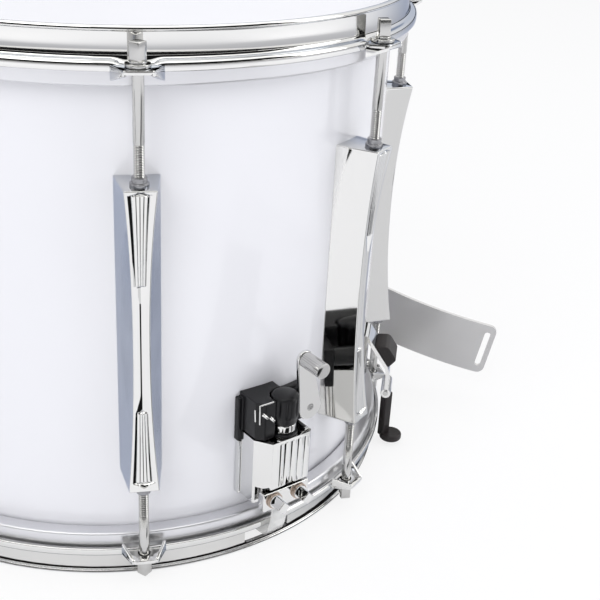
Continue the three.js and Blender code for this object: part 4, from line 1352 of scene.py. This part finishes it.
class DRUM_OT_leg_rest(bpy.types.Operator):
    """Folding leg rest: bent slotted plate, hinge and mount"""

    bl_idname = "drum.leg_rest"
    bl_label = "Leg rest"

    lean = math.radians(11.75)
    towards = math.radians(34.2)
    start = math.radians(-53)
    hinge_out = 9 * MM
    hinge_height = 89.5 * MM
    knuckle = 4.5 * MM
    upper = 10.45 * MM
    gap = 0.3 * MM
    notch = 7.1 * MM
    slot_inset = 6 * MM
    slot_half = 2.3 * MM
    slot_half_length = 16.25 * MM
    slot_round = 0.98
    bend_step = 3 * MM
    pin_radius = 2.4 * MM
    pin_past = 2.3 * MM
    base_past = 1.25 * MM
    base = (-14 * MM, 18 * MM, 38.5 * MM, 95.5 * MM, 3 * MM)
    base_sunk = 0.6 * MM
    base_face = 2.8 * MM
    web_half = 3.6 * MM
    web_depth = 10 * MM
    screws = ((-9, 43.5), (13, 43.5), (13, 90.5), (-9, 90.5))
    screw_rise = 1.7 * MM
    screw_radius = 3.4 * MM

    def frame(self, shell):
        """The plate's own frame, with the hinge pin along its Z."""
        pin = Vector((
            math.sin(self.lean) * math.sin(self.towards),
            -math.sin(self.lean) * math.cos(self.towards),
            math.cos(self.lean),
        ))
        across = (Vector((1, 0, 0)) - pin * pin.x).normalized()
        out = shell.radius + self.hinge_out
        turn = math.radians(LEG_REST)
        place = Vector((out * math.sin(turn), -out * math.cos(turn), self.hinge_height))
        basis = Matrix((across, pin.cross(across), pin)).transposed().to_4x4()
        return Matrix.Translation(place) @ basis

    def flat_plate(self, size):
        """The plate before it is bent: length along X, thickness along Y."""
        low, high, notch = -size.width, 0, self.notch
        step = self.upper + self.gap
        outline = [
            (0, -step, 0),
            (notch, -step, 1 * MM),
            (notch, high, 1 * MM),
            (size.reach, high, size.corner),
            (size.reach, low, size.corner),
            (notch, low, 1 * MM),
            (notch, low + step, 1 * MM),
            (0, low + step, 0),
        ]
        middle, half, reach = size.reach - self.slot_inset, self.slot_half, self.slot_half_length
        slot = oblong(middle - half, middle + half, low / 2 - reach, low / 2 + reach, half * self.slot_round)
        back = -size.sheet / 2
        corners = [(Vector((along, back, height)), rounding) for along, height, rounding in outline]
        hole = [(Vector((along, back, height)), rounding) for along, height, rounding in slot]
        bm = prism(corners, Vector((0, size.sheet, 0)), 0.5 * MM, holes=[hole], rounding_segments=8)
        along = self.bend_step
        while along < size.reach:
            geom = bm.verts[:] + bm.edges[:] + bm.faces[:]
            bmesh.ops.bisect_plane(bm, geom=geom, dist=MERGE, plane_co=(along, 0, 0), plane_no=(1, 0, 0))
            along += self.bend_step
        return bm

    def bent_plate(self, size):
        """The flat plate laid along its arc from the hinge."""
        bm = self.flat_plate(size)
        centre = Vector((-math.sin(self.start), math.cos(self.start))) * size.bend
        for vert in bm.verts:
            heading = self.start + vert.co.x / size.bend
            out = size.bend - vert.co.y
            vert.co.x = centre.x + out * math.sin(heading)
            vert.co.y = centre.y - out * math.cos(heading)
        bmesh.ops.recalc_face_normals(bm, faces=bm.faces)
        return bm

    def round_knuckle(self, low, high):
        return bar(Vector((0, 0, low)), Vector((0, 0, high)), self.knuckle, edge=0.4 * MM)

    def execute(self, context):
        size = context.scene.drum_leg_rest
        shell = context.scene.drum_shell
        place = self.frame(shell)
        step = self.upper + self.gap
        plate = [self.bent_plate(size), self.round_knuckle(step - size.width, -step)]
        plate = [moved(shape, place) for shape in plate]
        piece("slotted_leg_plate", plate, "Satin aluminium", "leg_rest", ["leg_rest_plate"], limit=30)
        self.mount(size, shell, place)
        ends = Vector((0, 0, -size.width - self.pin_past)), Vector((0, 0, self.pin_past))
        pin = moved(bar(*ends, self.pin_radius, edge=0.5 * MM), place)
        piece("leg_rest_hinge_pin", [pin], "Rod steel", "drum", ["leg_rest_pin"])
        return {"FINISHED"}

    def mount(self, size, shell, place):
        """Base plate on the shell with its knuckles, webs and screws."""
        turn = facing(LEG_REST)
        face = shell.radius + self.base_face
        shapes = [moved(outward(oblong(*self.base), shell.radius - self.base_sunk, face, 0.6 * MM), turn)]
        inward = place.inverted() @ Vector((0, 0, self.hinge_height))
        swing = Matrix.Rotation(math.atan2(inward.y, inward.x) + math.pi / 2, 4, "Z")
        spans = (-self.upper, self.base_past), (-self.base_past - size.width, self.upper - size.width)
        for low, high in spans:
            web = upright(oblong(-self.web_half, self.web_half, 0, self.web_depth), low, high, 0.4 * MM)
            shapes += [moved(moved(web, swing), place), moved(self.round_knuckle(low, high), place)]
        piece("leg_rest_base", shapes, "Satin aluminium", "drum", ["leg_rest_mount"], limit=30)
        heads = []
        for across, height in self.screws:
            ends = across * MM, height * MM, face, face + self.screw_rise
            heads.append(moved(stub(*ends, self.screw_radius, edge=0.9 * MM, segments=4), turn))
        piece("leg_rest_screws", heads, "Rod steel", "drum")


class DRUM_OT_hook(bpy.types.Operator):
    """Bracket with its bumper pad, and the hinged hook with a dipped bar"""

    bl_idname = "drum.hook"
    bl_label = "Hook bracket"

    low = 48 * MM
    crest = 90.3 * MM
    reach = 19.7 * MM
    incline = math.radians(34.5)
    pivot = 46 * MM
    axis = 196.75 * MM
    seat = 0.8 * MM
    knuckle = 3.6 * MM
    knuckle_inner = 4 * MM
    knuckle_gap = 4.2 * MM
    pin_half = 11.3 * MM
    pin_radius = 1.8 * MM
    pad_span = (9.6 * MM, 28.3 * MM)
    pad_lift = 0.1 * MM
    pad_bevels = (4.6 * MM, 2.3 * MM)
    tab_half = 3.7 * MM
    tab_out = (193 * MM, 200.5 * MM)
    tab_heights = (41.4 * MM, 44 * MM)
    stem_out = 197.6 * MM
    stem_heights = (5.2 * MM, 41.6 * MM)
    foot_shift = 5.5 * MM
    foot = (3 * MM, 8 * MM, 8 * MM)

    def level(self, left, right, radius):
        """Round bar along the hook's hinge."""
        ends = spot(left, self.axis, self.pivot), spot(right, self.axis, self.pivot)
        return bar(*ends, radius, edge=0.3 * MM)

    def bracket(self, size):
        base = WALL + size.sheet
        face = WALL + self.reach
        back = face - size.sheet
        slope = 1 / math.tan(self.incline)
        inner_crest = self.crest - size.sheet / math.sin(self.incline)
        section = [
            (WALL - self.seat, self.low, 0),
            (base, self.low, 0),
            (base, inner_crest, 0.8 * MM),
            (back, inner_crest - (back - base) * slope, 1.5 * MM),
            (back, self.pivot, 0),
            (face, self.pivot, 0),
            (face, self.crest - (face - base) * slope, 3.5 * MM),
            (base, self.crest, 2.2 * MM),
            (WALL - self.seat, self.crest, 0),
        ]
        half, inner = size.half, self.knuckle_inner
        gap = bar(spot(-inner, self.axis, self.pivot), spot(inner, self.axis, self.pivot), self.knuckle_gap)
        sheet = carved(sideways(section, -half, half, 0.5 * MM), gap)
        return [sheet, self.level(-half, -inner, self.knuckle), self.level(inner, half, self.knuckle)]

    def pad(self, size):
        """Bumper on the bracket's slanting strip."""
        start, end = self.pad_span
        upper, lower = self.pad_bevels
        corners = [
            (start, self.pad_lift, 0),
            (end, self.pad_lift, 0),
            (end - lower, size.pad, 1.6 * MM),
            (start + upper, size.pad, 2.2 * MM),
        ]
        sine, cosine = math.sin(self.incline), math.cos(self.incline)
        section = []
        for down, out, rounding in corners:
            radius = WALL + size.sheet + down * sine + out * cosine
            section.append((radius, self.crest - down * cosine + out * sine, rounding))
        return sideways(section, -size.half, size.half, 1 * MM, segments=4)

    def sleeve(self, size):
        """Diamond bar that widens into a round foot, all under one dipped skin."""
        axis, corner = self.stem_out, size.bar / 2
        corners = (0, axis - corner), (corner, axis), (0, axis + corner), (-corner, axis)
        plan = [(across, out, 1 * MM) for across, out in corners]
        stem = upright(plan, *self.stem_heights, 0.9 * MM, segments=3)
        foot = post(0, axis + self.foot_shift, *self.foot, sides=48, edge=1.6 * MM, segments=5)
        return [stem, foot]

    def execute(self, context):
        size = context.scene.drum_hook
        pin = self.level(-self.pin_half, self.pin_half, self.pin_radius)
        tab = upright(oblong(-self.tab_half, self.tab_half, *self.tab_out), *self.tab_heights, 0.6 * MM)
        arm = [self.level(-self.tab_half, self.tab_half, self.knuckle), tab]
        piece("bent_bracket", self.bracket(size), "Chrome", "drum", ["hook_bracket"], HOOK)
        piece("bumper", [self.pad(size)], "Dipped black", "drum", ["bumper_pad"], HOOK)
        piece("hook_hinge_pin", [pin], "Rod steel", "drum", ["hook_pin"], HOOK)
        piece("hook_tab", arm, "Chrome", "hook", ["hook_arm"], HOOK)
        piece("dipped_hook", self.sleeve(size), "Dipped black", "hook", ["hook_sleeve"], HOOK)
        return {"FINISHED"}


# Stage


class DRUM_OT_stage(bpy.types.Operator):
    """Plain floor, soft studio light and the camera"""

    bl_idname = "drum.stage"
    bl_label = "Stage"

    eye = Vector((-38.45 * MM, -709.87 * MM, 119.69 * MM))
    heading = math.radians(13.6)
    pitch = math.radians(-25.71)
    roll = math.radians(3.3)
    lens = 64.64
    sensor = 36
    floor_shade = 0.94
    floor_glow = 0.8
    light_colour = (0.93, 0.94, 1, 1)
    light_strength = 0.62
    softboxes = (
        ("key", (-1.3, -1.7, 1.5), 26, 1),
        ("side", (1.9, -0.9, 0.9), 14, 1),
        ("top", (0.1, 0.2, 2.2), 18, 2),
    )
    strips = (
        ("right_card", (0.095, -0.28), (0.42, -0.475), 0.08, 0.01, MM),
        ("left_card", (-0.2, -0.21), (-0.6, -0.24), 0.03, 0.01, MM),
        ("grey_card", (0.215, -0.24), (0.6, -0.24), 0.46, 0.7, 0.3 * MM),
    )
    # Painted shade: a near-black ring on the floor under the lower hoop's flange, seen only by mirrors,
    # darkens the foot of the hoop's wall in its reflection.
    ring = (0.189, 0.1912)
    painted_shade_tone = (0.02, 0.018, 0.018)
    curtains = (
        ("camera_curtain", 1.2, 0.14, 1.05, math.radians(120), 0),
        ("far_curtain", 1.9, RIM + 0.28, RIM + 0.46, TURN, 0),
        ("back_curtain", 1.88, 0.55, 1.15, math.radians(30), math.radians(186)),
    )
    curtain_shade = (0.01, 0.01, 0.01)

    def mixed(self, tree, share, first, second, output):
        """Two shaders mixed into a tree's output."""
        mix = new_node(tree, "MixShader")
        for socket, entry in zip((share, first, second), mix.inputs):
            tree.links.new(socket, entry)
        tree.links.new(mix.outputs["Shader"], tree.nodes[output].inputs["Surface"])

    def maths(self, tree, operation, *sockets):
        """A maths node over the sockets."""
        node = new_node(tree, "Math")
        node.operation = operation
        for socket, entry in zip(sockets, node.inputs):
            tree.links.new(socket, entry)
        return node

    def floor(self, size):
        bm = bmesh.new()
        bmesh.ops.create_grid(bm, x_segments=1, y_segments=1, size=size.floor)
        bmesh.ops.translate(bm, verts=bm.verts, vec=(0, 0, RIM))
        obj = loose_object("floor", bm)
        mat, tree, shader = new_material("Pale floor")
        pale = (self.floor_shade, self.floor_shade, self.floor_shade, 1)
        set_inputs(shader, Base_Color=pale, Roughness=0.9, Specular_IOR_Level=0)
        path = new_node(tree, "LightPath")
        share = self.maths(tree, "MULTIPLY", path.outputs["Is Camera Ray"])
        share.inputs[1].default_value = self.floor_glow
        bright = new_node(tree, "Emission")
        sockets = share.outputs["Value"], shader.outputs["BSDF"], bright.outputs["Emission"]
        self.mixed(tree, *sockets, "Material Output")
        obj.data.materials.append(mat)

    def world(self):
        """Soft light from all round, and plain white where the camera, mirrors and clear pieces look."""
        world = bpy.data.worlds.new("Studio")
        bpy.context.scene.world = world
        world.use_nodes = True
        tree = world.node_tree
        around = set_inputs(tree.nodes["Background"], Color=self.light_colour, Strength=self.light_strength)
        seen = new_node(tree, "Background", Color=(1, 1, 1, 1), Strength=1)
        path = new_node(tree, "LightPath").outputs
        shiny = self.maths(tree, "MAXIMUM", path["Is Glossy Ray"], path["Is Transmission Ray"])
        either = self.maths(tree, "MAXIMUM", path["Is Camera Ray"], shiny.outputs["Value"])
        sockets = either.outputs["Value"], around.outputs["Background"], seen.outputs["Background"]
        self.mixed(tree, *sockets, "World Output")

    def softbox(self, name, place, power, width):
        lamp = bpy.data.lights.new(name, "AREA")
        lamp.shape = "SQUARE"
        lamp.size = width
        lamp.energy = power
        obj = bpy.data.objects.new(name, lamp)
        bpy.context.scene.collection.objects.link(obj)
        obj.location = place
        aim = Vector((0, 0, RIM / 2)) - Vector(place)
        obj.rotation_euler = aim.to_track_quat("-Z", "Y").to_euler()

    def card(self, name, bm, shade):
        """A card that only mirrors see."""
        obj = loose_object(name, bm)
        mat, _, shader = new_material(name)
        set_inputs(shader, Base_Color=(*shade, 1), Roughness=1, Specular_IOR_Level=0)
        obj.data.materials.append(mat)
        obj.visible_camera = False
        obj.visible_diffuse = False
        obj.visible_shadow = False

    def floor_strip(self, name, start, end, width, shade, low):
        """Card that lies on the floor beside the drum, from one point to another."""
        near, far = Vector((*start, RIM + low)), Vector((*end, RIM + low))
        across = (far - near).cross(Vector((0, 0, 1))).normalized() * width / 2
        corners = [near - across, near + across, far + across * 2, far - across * 2]
        self.card(name, prism([(corner, 0) for corner in corners], Vector((0, 0, low))), (shade,) * 3)

    def lay_painted_shade(self, name, inner, outer, shade):
        """Card that lies on the floor right round the drum, under the lower hoop's flange: painted shade that
        only mirrors see.
        """
        low, high = RIM + MM, RIM + 2 * MM
        self.card(name, turned([(inner, low, 0), (outer, low, 0), (outer, high, 0), (inner, high, 0)]), shade)

    def curtain(self, name, out, low, high, spread, middle):
        """Dark curtain that stands round the studio, with its middle at an azimuth."""
        bm = bmesh.new()
        verts = [bm.verts.new(spot(0, out, height)) for height in (low, high)]
        bm.edges.new(verts)
        bmesh.ops.spin(
            bm, geom=bm.verts[:] + bm.edges[:], cent=(0, 0, 0), axis=(0, 0, 1), angle=spread, steps=32
        )
        self.card(name, moved(bm, Matrix.Rotation(middle - spread / 2, 4, "Z")), self.curtain_shade)

    def camera(self):
        data = bpy.data.cameras.new("camera")
        data.lens = self.lens
        data.sensor_width = self.sensor
        data.clip_start = 0.01
        forward = Vector((
            math.sin(self.heading) * math.cos(self.pitch),
            math.cos(self.heading) * math.cos(self.pitch),
            math.sin(self.pitch),
        ))
        right = Vector((math.cos(self.heading), -math.sin(self.heading), 0))
        up = right.cross(forward)
        cosine, sine = math.cos(self.roll), math.sin(self.roll)
        tilted_right = right * cosine + up * sine
        tilted_up = up * cosine - right * sine
        basis = Matrix((tilted_right, tilted_up, -forward)).transposed().to_4x4()
        obj = bpy.data.objects.new("camera", data)
        bpy.context.scene.collection.objects.link(obj)
        obj.matrix_world = Matrix.Translation(self.eye) @ basis
        bpy.context.scene.camera = obj

    def execute(self, context):
        size = context.scene.drum_stage
        bpy.context.scene.view_settings.view_transform = "Standard"
        self.floor(size)
        self.world()
        for name, place, power, spread in self.softboxes:
            self.softbox(name, place, power, size.softbox * spread)
        for strip in self.strips:
            self.floor_strip(*strip)
        # Painted shade under the lower hoop, seen only in reflections.
        self.lay_painted_shade("ring_card", *self.ring, self.painted_shade_tone)
        for curtain in self.curtains:
            self.curtain(*curtain)
        self.camera()
        return {"FINISHED"}


# Panel and registration


OPERATORS = (
    DRUM_OT_shell,
    DRUM_OT_heads,
    DRUM_OT_hoops,
    DRUM_OT_rods,
    DRUM_OT_lugs,
    DRUM_OT_strainer_base,
    DRUM_OT_strainer_housing,
    DRUM_OT_tension_knob,
    DRUM_OT_clamps,
    DRUM_OT_lever,
    DRUM_OT_butt,
    DRUM_OT_snares,
    DRUM_OT_leg_rest,
    DRUM_OT_hook,
    DRUM_OT_stage,
)

SETTINGS = {
    "drum_shell": ShellSizes,
    "drum_heads": HeadSizes,
    "drum_hoops": HoopSizes,
    "drum_rods": RodSizes,
    "drum_lugs": LugSizes,
    "drum_strainer": StrainerSizes,
    "drum_snares": SnareSizes,
    "drum_leg_rest": LegRestSizes,
    "drum_hook": HookSizes,
    "drum_finishes": FinishColours,
    "drum_stage": StageSizes,
}


class DRUM_PT_panel(bpy.types.Panel):
    """Sizes, finishes and the operators that build the drum"""

    bl_idname = "DRUM_PT_panel"
    bl_label = "Marching snare drum"
    bl_space_type = "VIEW_3D"
    bl_region_type = "UI"
    bl_category = "Drum"

    def draw(self, context):
        for operator in OPERATORS:
            self.layout.operator(operator.bl_idname)
        for setting, group in SETTINGS.items():
            box = self.layout.box()
            for name in group.__annotations__:
                box.prop(getattr(context.scene, setting), name)


def register():
    for group in SETTINGS.values():
        bpy.utils.register_class(group)
    for setting, group in SETTINGS.items():
        setattr(bpy.types.Scene, setting, bpy.props.PointerProperty(type=group))
    for cls in (*OPERATORS, DRUM_PT_panel):
        bpy.utils.register_class(cls)


def unregister():
    for cls in (DRUM_PT_panel, *reversed(OPERATORS)):
        bpy.utils.unregister_class(cls)
    for setting, group in SETTINGS.items():
        delattr(bpy.types.Scene, setting)
        bpy.utils.unregister_class(group)


def main():
    register()
    for operator in OPERATORS:
        category, name = operator.bl_idname.split(".")
        result = getattr(getattr(bpy.ops, category), name)()
        if result != {"FINISHED"}:
            raise RuntimeError(f"{operator.bl_label} wasn't built")


if __name__ == "__main__":
    main()
